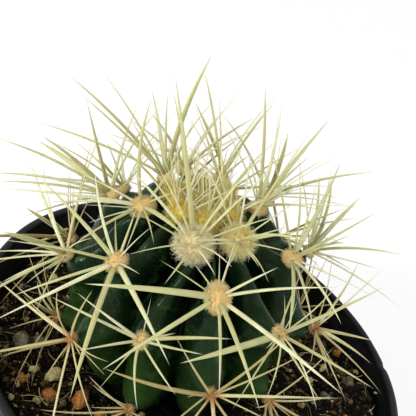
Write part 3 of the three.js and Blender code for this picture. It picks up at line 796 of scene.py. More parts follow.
# %% [markdown]
# Damp peat is nearly black, with paler specks of fibre and patches that are still wet. It is one
# ramp of colours over a fine noise. The same noise is the bump, so the pale places stand up.

# %% Peat
def peat():
    """Near-black brown with pale specks and wet patches, very rough and strongly bumped."""
    finish = Finish("peat", Specular_IOR_Level=0.08)
    fine = finish.noise(1.4, 6, 0.7)
    base = finish.ramp(fine, (0.35, colour(3, 3, 2)), (0.58, colour(11, 10, 6)), (0.8, colour(46, 36, 22)))
    specks = finish.between(finish.cells(0.9), 0.14, 0.05)
    wet = finish.between(finish.noise(0.2), 0.5, 0.7)
    base = finish.layers(base, ((150, 132, 84), specks * 0.5))
    return finish.feed(Base_Color=base, Roughness=1.0 - wet * 0.35, Normal=finish.bump(fine, 0.7, 0.9))


add_piece("soil_ground", soil_points, soil_faces, peat(), "soil", ["soil"])

# %% [markdown]
# On the ground lie loose things of many kinds: crumbs of peat, splinters of bark and straw, sand,
# cream perlite, grey pumice, broken clay and root fibres. A particle system could strew them,
# but its copies are all alike. Here each kind is one small pebble, copied with its own size,
# turn and dents. The copies are worked out together as one array, so thousands of them cost
# little, and each has only 20 or 80 faces.

# %% One pebble
EDGE_LIMIT = 1.2        # neighbours on the icosahedron are nearer than this, and no others


def pebble_form(rounds):
    """An icosahedron's points and faces, split so many times and pushed out to a sphere."""
    golden = (1 + 5 ** 0.5) / 2
    points = [(-1, golden, 0), (1, golden, 0), (-1, -golden, 0), (1, -golden, 0)]
    points += [(0, -1, golden), (0, 1, golden), (0, -1, -golden), (0, 1, -golden)]
    points += [(golden, 0, -1), (golden, 0, 1), (-golden, 0, -1), (-golden, 0, 1)]
    points = unit(np.array(points, float))
    near = np.linalg.norm(points[:, None] - points[None], axis=-1) < EDGE_LIMIT
    a, b, c = np.meshgrid(*[np.arange(12)] * 3, indexing="ij")
    found = near[a, b] & near[b, c] & near[a, c] & (a < b) & (b < c)
    faces = np.stack([a[found], b[found], c[found]], -1)
    facing = np.einsum("ij,ij->i", np.cross(points[faces[:, 1]], points[faces[:, 2]]), points[faces[:, 0]])
    faces[facing < 0] = faces[facing < 0][:, ::-1]
    for _ in range(rounds):
        corners = points[faces]
        middles = unit(corners + np.roll(corners, -1, axis=1))
        count = len(faces)
        points = np.concatenate([points, middles.reshape(-1, 3)])
        middle = len(points) - 3 * count + np.arange(3 * count).reshape(count, 3)
        parts = [np.stack([faces[:, k], middle[:, k], middle[:, (k + 2) % 3]], -1) for k in range(3)]
        faces = np.concatenate([*parts, middle])
        points, back = np.unique(np.round(points, 9), axis=0, return_inverse=True)
        faces = back.ravel()[faces]
    return points, faces


print("pebble faces", [len(pebble_form(k)[1]) for k in (0, 1)])

# %% Pebbles by the thousand
DENTS = 0.28            # share of its radius by which a pebble's corners go in or out


def random_turns(count, draw):
    """Random rotation matrices, from quaternions of four normal numbers each."""
    w, x, y, z = unit(draw.normal(size=(count, 4))).T
    return np.stack([
        np.stack([1 - 2 * (y * y + z * z), 2 * (x * y - w * z), 2 * (x * z + w * y)], -1),
        np.stack([2 * (x * y + w * z), 1 - 2 * (x * x + z * z), 2 * (y * z - w * x)], -1),
        np.stack([2 * (x * z - w * y), 2 * (y * z + w * x), 1 - 2 * (x * x + y * y)], -1),
    ], 1)


def pebbles(places, sizes, draw, rounds, flat):
    """Copies of a pebble: dented, made narrower and flatter, turned, scaled and put in place."""
    form, faces = pebble_form(rounds)
    count = len(places)
    dented = form[None] * (1 + DENTS * draw.uniform(-1, 1, (count, len(form), 1)))
    narrow, thin = draw.uniform(flat, 1, count), draw.uniform(flat * 0.8, 0.95, count)
    shaped = dented * np.stack([np.ones(count), narrow, thin], -1)[:, None]
    turned = np.einsum("nij,nkj->nki", random_turns(count, draw), shaped)
    points = places[:, None] + turned * (sizes / 2)[:, None, None]
    numbers = faces[None] + (np.arange(count) * len(form))[:, None, None]
    return points.reshape(-1, 3), [numbers.reshape(-1, 3)]


print("four random turns", random_turns(4, np.random.default_rng(1)).shape)

# %% Places on the soil
SPARE = 3               # places drawn for each one that is wanted
WALL_GAP = 0.6
PLANT_RADIUS = 22.5     # no place is nearer to the plant's axis


def on_soil(count, draw, sunk=0.15):
    """Random places on the ground between the plant and the wall, from more than are needed."""
    turn = draw.uniform(0, 2 * np.pi, count * SPARE)
    radius = (soil_edge(turn) - WALL_GAP) * np.sqrt(draw.uniform(0.1, 1, count * SPARE))
    x, y = radius * np.cos(turn), radius * np.sin(turn)
    places = np.stack([x, y, crumbly(x, y) - sunk], -1)
    plant = to_plant(places)
    return places[np.hypot(plant[:, 0], plant[:, 1]) > PLANT_RADIUS][:count]


print("places found for 1000 grains", len(on_soil(1000, np.random.default_rng(1))))

# %% [markdown]
# Every kind of grain is porous or splintery: two tones show, with painted shade in its pits.
# So one function makes all seven finishes, and only the colours differ: brown peat and bark,
# pale straw, tan sand, cream perlite, grey pumice and orange clay.

# %% Finishes of the grains
def mineral(name, pale, dark, speckle_and_pit_shade):
    """A porous grain: two tones by noise, painted shade in its pits, and a rough bump."""
    finish = Finish(name, Roughness=0.85, Specular_IOR_Level=0.1)
    pits = finish.between(finish.noise(2.4, 4), 0.6, 0.42)
    tone = finish.between(finish.noise(0.35, 3), 0.35, 0.65)
    # the last coat is painted shade, darker in the low places of the bump
    base = finish.layers(colour(*dark), (pale, tone), (speckle_and_pit_shade, (1 - pits) * 0.5))
    return finish.feed(Base_Color=base, Normal=finish.bump(pits, 0.25, 0.7))


GRAINS = {
    # piece: (count, smallest and largest in mm, splits of a pebble, its finish as the
    #         name, the pale tone, the dark tone and the painted shade in its pits)
    "peat_crumbs": (9000, 0.35, 1.6, 0, ("crumb_peat", (58, 46, 28), (17, 14, 9), (5, 5, 4))),
    "bark_crumbs": (2600, 0.35, 1.9, 0, ("crumb_bark", (128, 100, 56), (54, 41, 23), (18, 14, 9))),
    "straw_bits": (500, 0.4, 2.0, 0, ("crumb_straw", (198, 180, 124), (140, 120, 74), (76, 62, 36))),
    "sand_grains": (1500, 0.2, 0.7, 0, ("sand", (206, 190, 138), (132, 114, 72), (70, 57, 35))),
    "perlite_grains": (80, 0.5, 1.6, 1, ("perlite", (222, 212, 156), (178, 164, 108), (96, 84, 52))),
    "pumice_grains": (50, 0.6, 1.8, 1, ("pumice", (132, 128, 98), (78, 76, 60), (36, 34, 27))),
    "clay_grains": (30, 0.6, 1.7, 1, ("fired_clay", (206, 144, 80), (148, 88, 40), (62, 38, 20))),
}
grain_finishes = {name: mineral(*row[4]) for name, row in GRAINS.items()}
print("finishes", list(grain_finishes))

# %% [markdown]
# The largest grains catch the eye, so they lie where the photograph has them, most of them on
# the stones of the frame's soil. The rest fall where chance puts them. Their sizes follow a
# skewed draw, because in any soil there are many small grains and few large ones.

# %% Strewing the grains
SKEW = 2.6              # power of the draw of sizes
STONE_RISE = 0.03       # of a large grain's middle over the soil, against its size
SPLINTERS = ("bark_crumbs", "straw_bits")
SPLINTER_FLAT = 0.3     # least width of a splinter against its length
GRAIN_FLAT = 0.7        # and of any other grain
LARGE_GRAINS = {
    # piece: place on the ground from the pot's axis (x, y) and size, in mm
    "perlite_grains": [
        (-25.5, -21.5, 4.0), (-26, -29, 1.8), (-30, -21.5, 2.5), (-31, -30, 1.5), (-38, -22, 1.8),
        (44, 12, 1.9), (34.5, 8, 2.5), (31.5, 3, 2.3), (48, 4.5, 1.1), (33.5, 22, 2.6), (37, 12, 1.6),
        (-14, 37, 2.6), (-38, 9, 2.8), (5, -38, 2.4), (27, 31, 3.0),
    ],
    "pumice_grains": [
        (-35, -16.5, 4.6), (-32.5, -14, 3.5), (-21, -27.5, 1.8), (41, 5.5, 3.4), (35, -2, 2.6),
        (12, 39, 3.2), (-29, 28, 3.4), (22, -34, 2.8), (-36, 20, 2.6),
    ],
    "clay_grains": [
        (-24, -27, 3.9), (-18, -26, 4.4), (38.5, 15.5, 2.4), (-13, -27.5, 2.6), (-31, -25, 2.5),
        (-8, 30, 2.4), (3, 33, 3.6),
    ],
}


def grain_places(name, count, small, large, draw):
    """Random grains with a skewed spread of sizes, and the large ones at listed places."""
    places = on_soil(count, draw)
    sizes = small + (large - small) * draw.uniform(0, 1, len(places)) ** SKEW
    if name in LARGE_GRAINS:
        x, y, size = np.array(LARGE_GRAINS[name], float).T
        placed = np.stack([x, y, soil_height(x, y) + size * STONE_RISE], -1)
        places, sizes = np.concatenate([places, placed]), np.concatenate([sizes, size])
    return places, sizes


for seed, (name, (count, small, large, rounds, _)) in enumerate(GRAINS.items()):
    draw = np.random.default_rng(100 + seed)
    places, sizes = grain_places(name, count, small, large, draw)
    flat = SPLINTER_FLAT if name in SPLINTERS else GRAIN_FLAT
    add_piece(name, *pebbles(places, sizes, draw, rounds, flat), grain_finishes[name], "soil")

# %% [markdown]
# ## Spines
#
# Each areole of the frame holds a felt pad and a few spines as coarse needles. Drawing new spines
# by chance would move them, so they are read from the frame. A needle's point is easy to find in
# its mesh: only three faces meet there, and their corners add up to very little. The three
# points next to it are its ring at mid length, which tell its width and its flat side, and the
# root follows from the two, because the frame's spines bow by a known share of their length.

# %% Reading the needles of a node
SPINE_BOW = 0.035       # of a needle's middle, against its length
SPINE_TAPER = 0.84      # width at its middle, against its width at the root
SHARP = 0.9             # the corners at a needle's point add up to less, in radians


def merged_mesh(node):
    """Points and triangles of a node in mm, with equal points made one."""
    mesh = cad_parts[node].data
    points = np.zeros(len(mesh.vertices) * 3)
    mesh.vertices.foreach_get("co", points)
    mesh.calc_loop_triangles()
    faces = np.zeros(len(mesh.loop_triangles) * 3, int)
    mesh.loop_triangles.foreach_get("vertices", faces)
    merged, back = np.unique(np.round(points.reshape(-1, 3) / MM, 3), axis=0, return_inverse=True)
    return merged, back.ravel()[faces].reshape(-1, 3)


def corner_sums(points, faces):
    """Sum of the corner angles and number of faces at each point."""
    corners = points[faces]
    to_next = unit(np.roll(corners, -1, axis=1) - corners)
    to_last = unit(np.roll(corners, 1, axis=1) - corners)
    angles = np.arccos(np.clip((to_next * to_last).sum(-1), -1, 1))
    total = np.bincount(faces.ravel(), angles.ravel(), len(points))
    return total, np.bincount(faces.ravel(), minlength=len(points))


def read_needles(node):
    """Root, middle, tip, thin direction and width of each needle of a node."""
    points, faces = merged_mesh(node)
    total, count = corner_sums(points, faces)
    tips = np.nonzero((total < SHARP) & (count == 3))[0]
    around = np.stack([faces[(faces == tip).any(1)].ravel() for tip in tips])
    ring = np.stack([np.unique(row[row != tip]) for row, tip in zip(around, tips)])
    sides = points[ring]
    edges = np.roll(sides, -1, axis=1) - sides
    lengths = np.linalg.norm(edges, axis=-1)
    longest = lengths.argmax(1)
    rows = np.arange(len(tips))
    middle = sides.mean(1)
    foot = (sides[rows, longest] + sides[rows, (longest + 1) % 3]) / 2
    tip = points[tips]
    way = unit(tip - middle)
    thin = sides[rows, (longest + 2) % 3] - foot
    thin = unit(thin - way * (thin * way).sum(-1, keepdims=True))
    bow = 2 * np.linalg.norm(tip - middle, axis=-1, keepdims=True) * SPINE_BOW
    root = 2 * middle - tip - 2 * bow * thin
    width = lengths[rows, longest] / SPINE_TAPER
    return {"root": root, "middle": middle, "tip": tip, "thin": thin, "width": width}


areoles = {name: read_needles(name) for name in sorted(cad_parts) if name.startswith("areole")}
areoles["growing_point"] = read_needles("growing_point")
print("needles read", sum(len(found["tip"]) for found in areoles.values()))

# %% [markdown]
# A real spine isn't a straight cone. It is flattened, keeps its width over much of its length,
# tapers late to a fine point, and bends a little on its way. Blender's curves with a bevel could
# do it one by one, but here thousands are swept at once, and the same sweep serves for hairs and
# root fibres. A set of strands is a dictionary of arrays with one row for each strand.

# %% Sets of strands
def strands(root, middle, tip, width, taper, draw, thin=None):
    """Gathers the rows of a set of strands, with a random tone for each."""
    way = unit(tip - root)
    count = len(root)
    return {
        "root": root,
        "middle": middle,
        "tip": tip,
        "thin": sideways(way, draw) if thin is None else thin,
        "width": np.broadcast_to(width, count),
        "taper": np.broadcast_to(taper, count),
        "tone": draw.uniform(0, 1, count),
    }


def sideways(vectors, draw):
    """A random direction square to each vector."""
    other = draw.normal(size=vectors.shape)
    return unit(other - vectors * (other * vectors).sum(-1, keepdims=True))


print("square to X", np.round(sideways(np.array([[1.0, 0, 0]]), np.random.default_rng(1)), 2).tolist())

# %% Strands by sweeping a section
def sweep(rows, flatness, sides, rings):
    """A ring carried along the arc through root, middle and tip; its width falls as 1 - u^taper."""
    root, middle, tip = rows["root"], rows["middle"], rows["tip"]
    count = len(root)
    u = np.linspace(0, 1, rings + 1)[:-1]
    share = u[None, :, None]
    bow = middle - (root + tip) / 2
    path = root[:, None] * (1 - share) + tip[:, None] * share + 4 * share * (1 - share) * bow[:, None]
    way = unit((tip - root)[:, None] + 4 * (1 - 2 * share) * bow[:, None])
    flat = unit(np.cross(way, rows["thin"][:, None]))
    up = np.cross(flat, way)
    half = rows["width"][:, None] / 2 * (1 - u[None] ** rows["taper"][:, None])
    turn = np.arange(sides) * 2 * np.pi / sides
    across = flat[:, :, None] * np.cos(turn)[None, None, :, None]
    over = up[:, :, None] * (np.sin(turn) * flatness)[None, None, :, None]
    sections = path[:, :, None] + (across + over) * half[:, :, None, None]
    each = rings * sides + 1
    points = np.concatenate([sections.reshape(count, -1, 3), tip[:, None]], 1).reshape(-1, 3)
    start = (np.arange(count) * each)[:, None, None]
    walls = (start + grid_faces(rings, sides)[None]).reshape(-1, 4)
    last_ring = np.arange(each - 1 - sides, each - 1)
    ends = (start + fan_faces(each - 1, last_ring, outwards=False)[None]).reshape(-1, 3)
    caps = start[:, 0] + np.arange(sides)[None]
    along = np.tile(np.concatenate([np.repeat(u, sides), [1.0]]), count)
    length = np.repeat(np.linalg.norm(tip - root, axis=-1), each)
    values = {"share": along, "reach": along * length, "tone": np.repeat(rows["tone"], each)}
    return points, [walls, ends, caps], values


def join(shapes):
    """Several shapes as one, with the values at their points."""
    offset, points, faces, values = 0, [], {}, {}
    for shape_points, shape_faces, shape_values in shapes:
        for kind in shape_faces:
            faces.setdefault(kind.shape[1], []).append(kind + offset)
        for title, numbers in shape_values.items():
            values.setdefault(title, []).append(numbers)
        points.append(shape_points)
        offset += len(shape_points)
    merged = {title: np.concatenate(numbers) for title, numbers in values.items()}
    return np.concatenate(points), [np.concatenate(kind) for kind in faces.values()], merged


ends = np.array([[[0, 0, 0]], [[1, 0, 1]], [[0, 0, 2]]], float)
print("points of a strand", len(sweep(strands(*ends, 1.0, 2.0, np.random.default_rng(1)), 1.0, 6, 9)[0]))

# %% [markdown]
# Where an areole lies follows from the skin's formula: a place on the crest of its rib, with a
# direction up the rib, one to its right and one outwards. Spines, felt and wool all start there.

# %% Frames of the areoles
PAD_SIZE = {"young": 1.9, "row1": 1.6, "row2": 1.75, "row3": 1.3, "row4": 1.0, "row5": 0.9}
WIDER_PADS = {(11, "row1"): 2.9, (1, "row1"): 2.7, (0, "row2"): 2.35, (9, "row1"): 2.1}
CENTRE_SIZE = 2.5       # of the crown's own wool; all of these are radii in mm
NEWEST = {(11, "row1"): "cream_wool", (1, "row1"): "yellow_wool"}    # just let go by the crown
OUTLINE_TABLE = np.linspace(0, 1.9, 4000)
CREST_STEP = 0.01       # along the outline, to either side of an areole


def pad_frame(rib, height):
    """Place on a rib's crest at a height of the outline, and the directions up, right and out."""
    t = np.interp(-height, -outline(OUTLINE_TABLE)[1], OUTLINE_TABLE)
    steps = (0, -CREST_STEP, CREST_STEP)
    place, higher, lower = (skin(np.array(float(rib)), np.array(t + step)) for step in steps)
    up = unit(higher - lower)
    turn = math.atan2(place[1], place[0])
    out = unit(np.cross([-math.sin(turn), math.cos(turn), 0], up))
    return {"place": place, "up": up, "side": np.cross(up, out), "out": out}


pads = []
for rib in range(RIBS):
    for row, (odd, height) in ROWS.items():
        if odd == rib % 2:
            size = WIDER_PADS.get((rib, row), PAD_SIZE[row])
            pads.append({**pad_frame(rib, height), "row": row, "size": size, "rib": rib})
east, south, up = np.array([1.0, 0, 0]), np.array([0, -1.0, 0]), np.array([0, 0, 1.0])
centre = {"place": crown, "up": east, "side": south, "out": up}
pads.append({**centre, "row": "centre", "size": CENTRE_SIZE, "rib": 0})
print("areoles", len(pads))

# %% [markdown]
# Horn-like spines are pale straw, more golden in the young ones, and warm tan where they come out
# of the felt. The oldest, close to the soil, have gone olive and brown. Light sinks a little way
# into them, so they glow. Close up they carry fine rings across, like the growth lines of a horn.
# A texture would stretch on so many strands. Instead the shader reads how far along a spine a
# point is, as a share and in millimetres, and each spine's tone.

# %% Finish of the spines
RING_RATE = 14.0        # radians to a millimetre, so that two rings take about 0.9 mm
# Light goes a millimetre deep, and a little less of the blue.
GLOW = {"Subsurface_Weight": 0.5, "Subsurface_Scale": 0.001, "Subsurface_Radius": (1.0, 1.0, 0.8)}


def horn(name, warm_length, root, shaft, pale, dull, tip):
    """Colour along the spine, rings about every half millimetre, and a soft sheen."""
    finish = Finish(name, Roughness=0.45, Specular_IOR_Level=0.25, **GLOW)
    share, reach, tone = [finish.stored(title) for title in ("share", "reach", "tone")]
    wobble = finish.noise(0.8, 2) * 0.6
    rings = finish.node("Math", {"operation": "SINE"}, {0: (reach + wobble) * RING_RATE}) * 0.5 + 0.5
    hue = finish.layers(
        colour(*shaft),
        (pale, finish.between(tone, 0.55, 1.0)),
        (dull, finish.between(tone, 0.45, 0.0) * 0.8),
        (root, finish.between(reach, warm_length, 0.3 * warm_length) * 0.85),
        (tip, finish.between(share, 0.93, 1.0) * 0.7),
        (dull, rings * finish.between(finish.noise(0.35, 3), 0.35, 0.65) * 0.75),
        (dull, finish.between(finish.noise(0.25, 4), 0.55, 0.8) * 0.4),
    )
    return finish.feed(Base_Color=hue, Normal=finish.bump(rings, 0.05, 0.6))


HORNS = {
    # finish: (warm length in mm, root, shaft, pale spines, dull spines and rings, tip)
    "straw_spines": (
        2.4, (204, 168, 102), (194, 194, 142), (220, 220, 180), (174, 170, 116), (160, 144, 98),
    ),
    "golden_spines": (
        3.2, (234, 200, 94), (216, 213, 152), (234, 232, 200), (202, 194, 132), (192, 184, 138),
    ),
    "old_spines": (
        3.0, (184, 126, 66), (186, 174, 120), (210, 202, 154), (150, 134, 84), (126, 106, 64),
    ),
}
horns = {name: horn(name, *values) for name, values in HORNS.items()}
print("made", list(horns))

# %% [markdown]
# The strongest spine of an areole is its longest, and the others are finer. Between them stand
# thin radials, too many and too fine for the frame's solids, spread by seeded draws. All the
# spines of a row of areoles make one piece, which stands for that row's nodes.

# %% Spines of the areoles
SPINE_SECTION = (0.55, 6, 9)    # flatness, sides, rings
BEND = 0.025                    # most that a spine's middle is off the needle's, against its length
TAPERS = (1.5, 3.6)             # a high one keeps its width longer
STOUT_LENGTH = 26.0             # a spine of this length has its needle's width, a shorter one is finer
LEAST_LEAD = 0.72               # width of an areole's short spines against its longest
STOUTNESS = {
    "rib10_row1": 1.35, "rib11_row2": 1.05, "rib09_row2": 1.1, "rib08_row1": 1.15, "rib01_row2": 0.85,
}
PLAIN_STOUTNESS = 0.95          # of all the other areoles
EXTRA_RADIALS = {"young": 4, "row1": 4, "row2": 2, "row3": 3, "row4": 3, "row5": 3}
RADIAL_LIFT = (18, 48)          # degrees from the skin
RADIAL_LENGTH = (8, 16)
RADIAL_WIDTH = (0.35, 0.6)
RADIAL_TAPER = 2.2


def fine_spines(node, draw):
    """The needles of a node with the real section, a little bent; the longest are the stoutest."""
    found = areoles[node]
    way = unit(found["tip"] - found["root"])
    length = np.linalg.norm(found["tip"] - found["root"], axis=-1, keepdims=True)
    middle = found["middle"] + sideways(way, draw) * length * draw.uniform(0, BEND, length.shape)
    taper = draw.uniform(*TAPERS, len(way))
    length = length[:, 0]
    width = found["width"] * STOUTNESS.get(node.removeprefix("areole_"), PLAIN_STOUTNESS)
    width = width * (LEAST_LEAD + (1 - LEAST_LEAD) * (length / length.max()) ** 4)
    width = width * np.clip(length / STOUT_LENGTH, 0.6, 1.1) * draw.uniform(0.8, 1.15, len(way))
    return strands(found["root"], middle, found["tip"], width, taper, draw, found["thin"])


def skin_way(pad, clock):
    """Direction on the skin at a clock angle: 0 points up the rib, a quarter turn to its right."""
    return np.cos(clock) * pad["up"] + np.sin(clock) * pad["side"]


def thin_radials(pad, draw):
    """The finest spines of an areole, spread round it and low over the skin."""
    count = EXTRA_RADIALS[pad["row"]]
    clock = draw.uniform(0, 2 * np.pi, (count, 1))
    lift = np.radians(draw.uniform(*RADIAL_LIFT, (count, 1)))
    way = skin_way(pad, clock) * np.cos(lift) + pad["out"] * np.sin(lift)
    length = draw.uniform(*RADIAL_LENGTH, (count, 1))
    root = pad["place"] + pad["out"] * 0.5 * pad["size"] + way * 0.3
    middle = root + way * length / 2 + pad["out"] * length * draw.uniform(-0.02, 0.05, (count, 1))
    ends = to_pot(root), to_pot(middle), to_pot(root + way * length)
    return strands(*ends, draw.uniform(*RADIAL_WIDTH, count), RADIAL_TAPER, draw)


print("spines of a young areole", len(areoles["areole_rib01_young"]["tip"]) + EXTRA_RADIALS["young"])

# %% Rows of spines
def spine_piece(name, row_name, nodes, material, slot, draw):
    """All the spines of a row as one piece, with the values that the finish reads."""
    sets = [fine_spines(node, draw) for node in nodes]
    sets += [thin_radials(pad, draw) for pad in pads if pad["row"] == row_name]
    points, faces, values = join([sweep(rows, *SPINE_SECTION) for rows in sets])
    return add_piece(name, points, faces, material, slot, nodes, **values)


draw = np.random.default_rng(21)
for row in ("row1", "row2", "row3", "row4", "row5"):
    nodes = [node for node in areoles if node.endswith(row)]
    finish_name = "old_spines" if row in ("row4", "row5") else "straw_spines"
    spine_piece(f"spines_{row}", row, nodes, horns[finish_name], "spines", draw)
young_nodes = [node for node in areoles if node.endswith("young")] + ["growing_point"]
spine_piece("spines_young", "young", young_nodes, horns["golden_spines"], "young_spines", draw)

# %% [markdown]
# Round the growing point new spines push up through the wool by the dozen, short, golden and
# almost upright. Hair particles would be the usual way, but the export keeps only meshes, so
# they are strands like the others, only thinner and with fewer sides.

# %% New spines of the crown
TUFT_SECTION = (0.7, 4, 5)      # flatness, sides, rings
TUFT_COUNTS = {"young": 22, "centre": 44}
TUFT_LENGTH = (3.5, 11.0)
TUFT_WIDTH = (0.15, 0.32)
TUFT_TAPER = 1.8
TUFT_LEAN = 0.45                # outwards at the edge, against the way up


def new_spines(pad, draw):
    """Short spines that stand all over an areole and lean outwards the more, the farther out."""
    count = TUFT_COUNTS[pad["row"]]
    clock = draw.uniform(0, 2 * np.pi, (count, 1))
    far = np.sqrt(draw.uniform(0, 1, (count, 1)))
    flat = skin_way(pad, clock)
    root = pad["place"] + flat * far * pad["size"] * 0.8 + pad["out"] * 0.3
    way = unit(flat * far * TUFT_LEAN + pad["out"] + draw.normal(size=(count, 3)) * 0.13)
    length = draw.uniform(*TUFT_LENGTH, (count, 1)) * (1.1 - 0.4 * far)
    middle = root + way * length / 2 + sideways(way, draw) * length * 0.02
    ends = to_pot(root), to_pot(middle), to_pot(root + way * length)
    return strands(*ends, draw.uniform(*TUFT_WIDTH, count), TUFT_TAPER, draw)


draw = np.random.default_rng(33)
tufts = [new_spines(pad, draw) for pad in pads if pad["row"] in TUFT_COUNTS]
points, faces, values = join([sweep(rows, *TUFT_SECTION) for rows in tufts])
add_piece("crown_tuft", points, faces, horns["golden_spines"], "young_spines", **values)

# %% [markdown]
# ## Felt and wool
#
# An areole is a cushion of short felt. Old ones are tan with an orange middle. The two that the
# crown has just let go are balls of cream and of yellow wool, and the crown's own are golden.
# All are hairs on a mound, which is cheaper than filling the cushion with hair. The mound stops
# the eye from looking between the hairs, and takes the same colours.

# %% Kinds of wool
WOOL = {
    # kind: (hairs of a pad 1 mm in radius, their length, curl, width, rings,
    #        radius of the mound against the pad's, how far it is drawn out along the rib)
    "golden_wool": (260, 1.7, 0.3, 0.075, 3, 1.05, 1.0),
    "cream_wool": (270, 1.8, 0.35, 0.06, 3, 0.95, 1.0),
    "yellow_wool": (270, 1.8, 0.35, 0.06, 3, 0.9, 1.0),
    "tan_felt": (200, 0.6, 0.25, 0.08, 2, 0.95, 1.3),
}


def wool_kind(pad):
    """Golden in the crown, cream and yellow on the newest areoles, and tan felt on all the others."""
    if pad["row"] in ("centre", "young"):
        return "golden_wool"
    return NEWEST.get((pad["rib"], pad["row"]), "tan_felt")


print("woolly areoles", sum(wool_kind(pad) != "tan_felt" for pad in pads))

# %% Mounds and their hairs
MOUND_ROWS = 12
MOUND_COLUMNS = 24
MOUND_ANGLES = (0.15, 2.6)      # from its top, in radians, at its first ring and at its last
MOUND_UNEVEN = 0.06             # against the pad's radius
HAIR_REACH = (0.4, 1.2)         # length of a hair against its kind's
HAIR_SPREAD = 0.5
HAIR_SUNK = 0.15
HAIR_TAPER = 1.6


def on_mound(pad, angle, turn):
    """Point of a ball drawn out along the rib, at an angle from its top and a turn; and the way out."""
    *_, share, tall = WOOL[wool_kind(pad)]
    radius = pad["size"] * share
    flat = np.cos(turn) * pad["side"] + np.sin(turn) * pad["up"] * tall
    middle = pad["place"] + pad["out"] * (0.2 + 0.6 * radius)
    out = unit(np.cos(turn) * pad["side"] + np.sin(turn) / tall * pad["up"]) * np.sin(angle)
    point = middle + (flat * np.sin(angle) + pad["out"] * np.cos(angle)) * radius
    return point, out + pad["out"] * np.cos(angle)


def hairs(pad, draw):
    """Hairs that start all over the mound and point outwards, each with a curl of its own."""
    dense, length, curl, wide, rings, *_ = WOOL[wool_kind(pad)]
    count = int(dense * pad["size"] ** 2)
    angle = np.arccos(draw.uniform(-0.5, 1, (count, 1)))
    turn = draw.uniform(0, 2 * np.pi, (count, 1))
    root, out = on_mound(pad, angle, turn)
    way = unit(out + draw.normal(size=(count, 3)) * HAIR_SPREAD)
    reach = length * draw.uniform(*HAIR_REACH, (count, 1))
    middle = root + way * reach / 2 + sideways(way, draw) * reach * curl
    rows = strands(root - out * HAIR_SUNK, middle, root + way * reach, wide, HAIR_TAPER, draw)
    points, faces, values = sweep(rows, 1.0, 3, rings)
    return points, faces, {**values, "far": np.repeat(np.sin(angle).ravel(), len(points) // count)}


def mound(pad, draw):
    """The mound itself, with an uneven surface and closed underneath."""
    angle = np.linspace(*MOUND_ANGLES, MOUND_ROWS)[:, None, None]
    turn = np.linspace(0, 2 * np.pi, MOUND_COLUMNS, endpoint=False)[None, :, None]
    rows, out = on_mound(pad, angle, turn)
    uneven = MOUND_UNEVEN * pad["size"] * ripple(rows, pitch=1.1, seed=int(draw.integers(1000)))
    rows = rows + out * uneven[..., None]
    points, faces = turned_shape(on_mound(pad, 0, 0)[0], rows, rows[-1].mean(0) - pad["out"] * 0.1)
    far = np.concatenate([np.broadcast_to(np.sin(angle[..., 0]), rows.shape[:2]).ravel(), [0, 1]])
    same = np.ones(len(points))
    return points, faces, {"share": 0.35 * same, "reach": 0 * same, "tone": 0.5 * same, "far": far}


print("hairs of the centre", int(WOOL["golden_wool"][0] * CENTRE_SIZE ** 2))

# %% [markdown]
# Wool is darker where the light doesn't reach, paler at the ends, and no two hairs are alike. One
# ramp does all three: it adds up the share along a hair, the hair's tone and a slow noise. Warm
# patches gather in the middle of a cushion, which is where the spines have stained it.

# %% Finishes of felt and wool, and the pieces
def fleece(name, deep, middle, pale, heart):
    """Darker at the roots, paler at the ends, other from hair to hair, and warm in patches."""
    finish = Finish(name, Roughness=0.95, Specular_IOR_Level=0.15)
    along = finish.stored("share") * 0.6 + finish.stored("tone") * 0.3 + finish.noise(0.6, 3) * 0.4 - 0.08
    hue = finish.ramp(along, (0.1, colour(*deep)), (0.45, colour(*middle)), (0.85, colour(*pale)))
    patches = finish.between(finish.noise(0.55, 2), 0.42, 0.62)
    warm = finish.between(finish.stored("far"), 1.1, 0.3) * patches
    return finish.feed(Base_Color=finish.layers(hue, (heart, warm * 0.55)))


FLEECES = {
    # finish: (at the roots, half way, at the ends, warm patches)
    "tan_felt": ((176, 140, 82), (216, 190, 128), (240, 226, 178), (212, 158, 86)),
    "old_felt": ((120, 90, 56), (172, 138, 90), (210, 188, 142), (190, 122, 62)),
    "cream_wool": ((200, 182, 124), (236, 224, 170), (252, 247, 222), (214, 190, 128)),
    "yellow_wool": ((206, 184, 102), (238, 226, 150), (252, 247, 210), (226, 200, 98)),
    "golden_wool": ((208, 178, 58), (232, 210, 88), (246, 236, 160), (218, 184, 40)),
}
fleeces = {name: fleece(name, *tones) for name, tones in FLEECES.items()}
CUSHIONS = {
    # piece: (kind, finish, slot, rows)
    "felt_upper": ("tan_felt", "tan_felt", "spines", ("row1", "row2")),
    "felt_middle": ("tan_felt", "tan_felt", "spines", ("row3",)),
    "felt_lower": ("tan_felt", "old_felt", "spines", ("row4", "row5")),
    "wool_left": ("cream_wool", "cream_wool", "spines", ("row1",)),
    "wool_right": ("yellow_wool", "yellow_wool", "spines", ("row1",)),
    "wool_crown": ("golden_wool", "golden_wool", "young_spines", ("young", "centre")),
}
for seed, (title, (kind, finish_name, slot, rows_of)) in enumerate(CUSHIONS.items()):
    draw = np.random.default_rng(300 + seed)
    mine = [pad for pad in pads if wool_kind(pad) == kind and pad["row"] in rows_of]
    points, faces, values = join([hairs(pad, draw) for pad in mine] + [mound(pad, draw) for pad in mine])
    add_piece(title, to_pot(points), faces, fleeces[finish_name], slot, **values)

# %% [markdown]
# Bits of root and fibre lie about on the peat. They are the last strands, bent in a bow and laid
# down flat, with both ends a little sunk. From one to another they go from brown to pale straw.

# %% Fibres on the soil
FIBRES = 380
FIBRE_SECTION = (0.8, 4, 6)     # flatness, sides, rings
FIBRE_HALF = (0.6, 3.6)         # half the length in mm
FIBRE_WIDTH = (0.08, 0.24)
FIBRE_BOW = 0.35                # against half the length
FIBRE_TAPER = 3.0


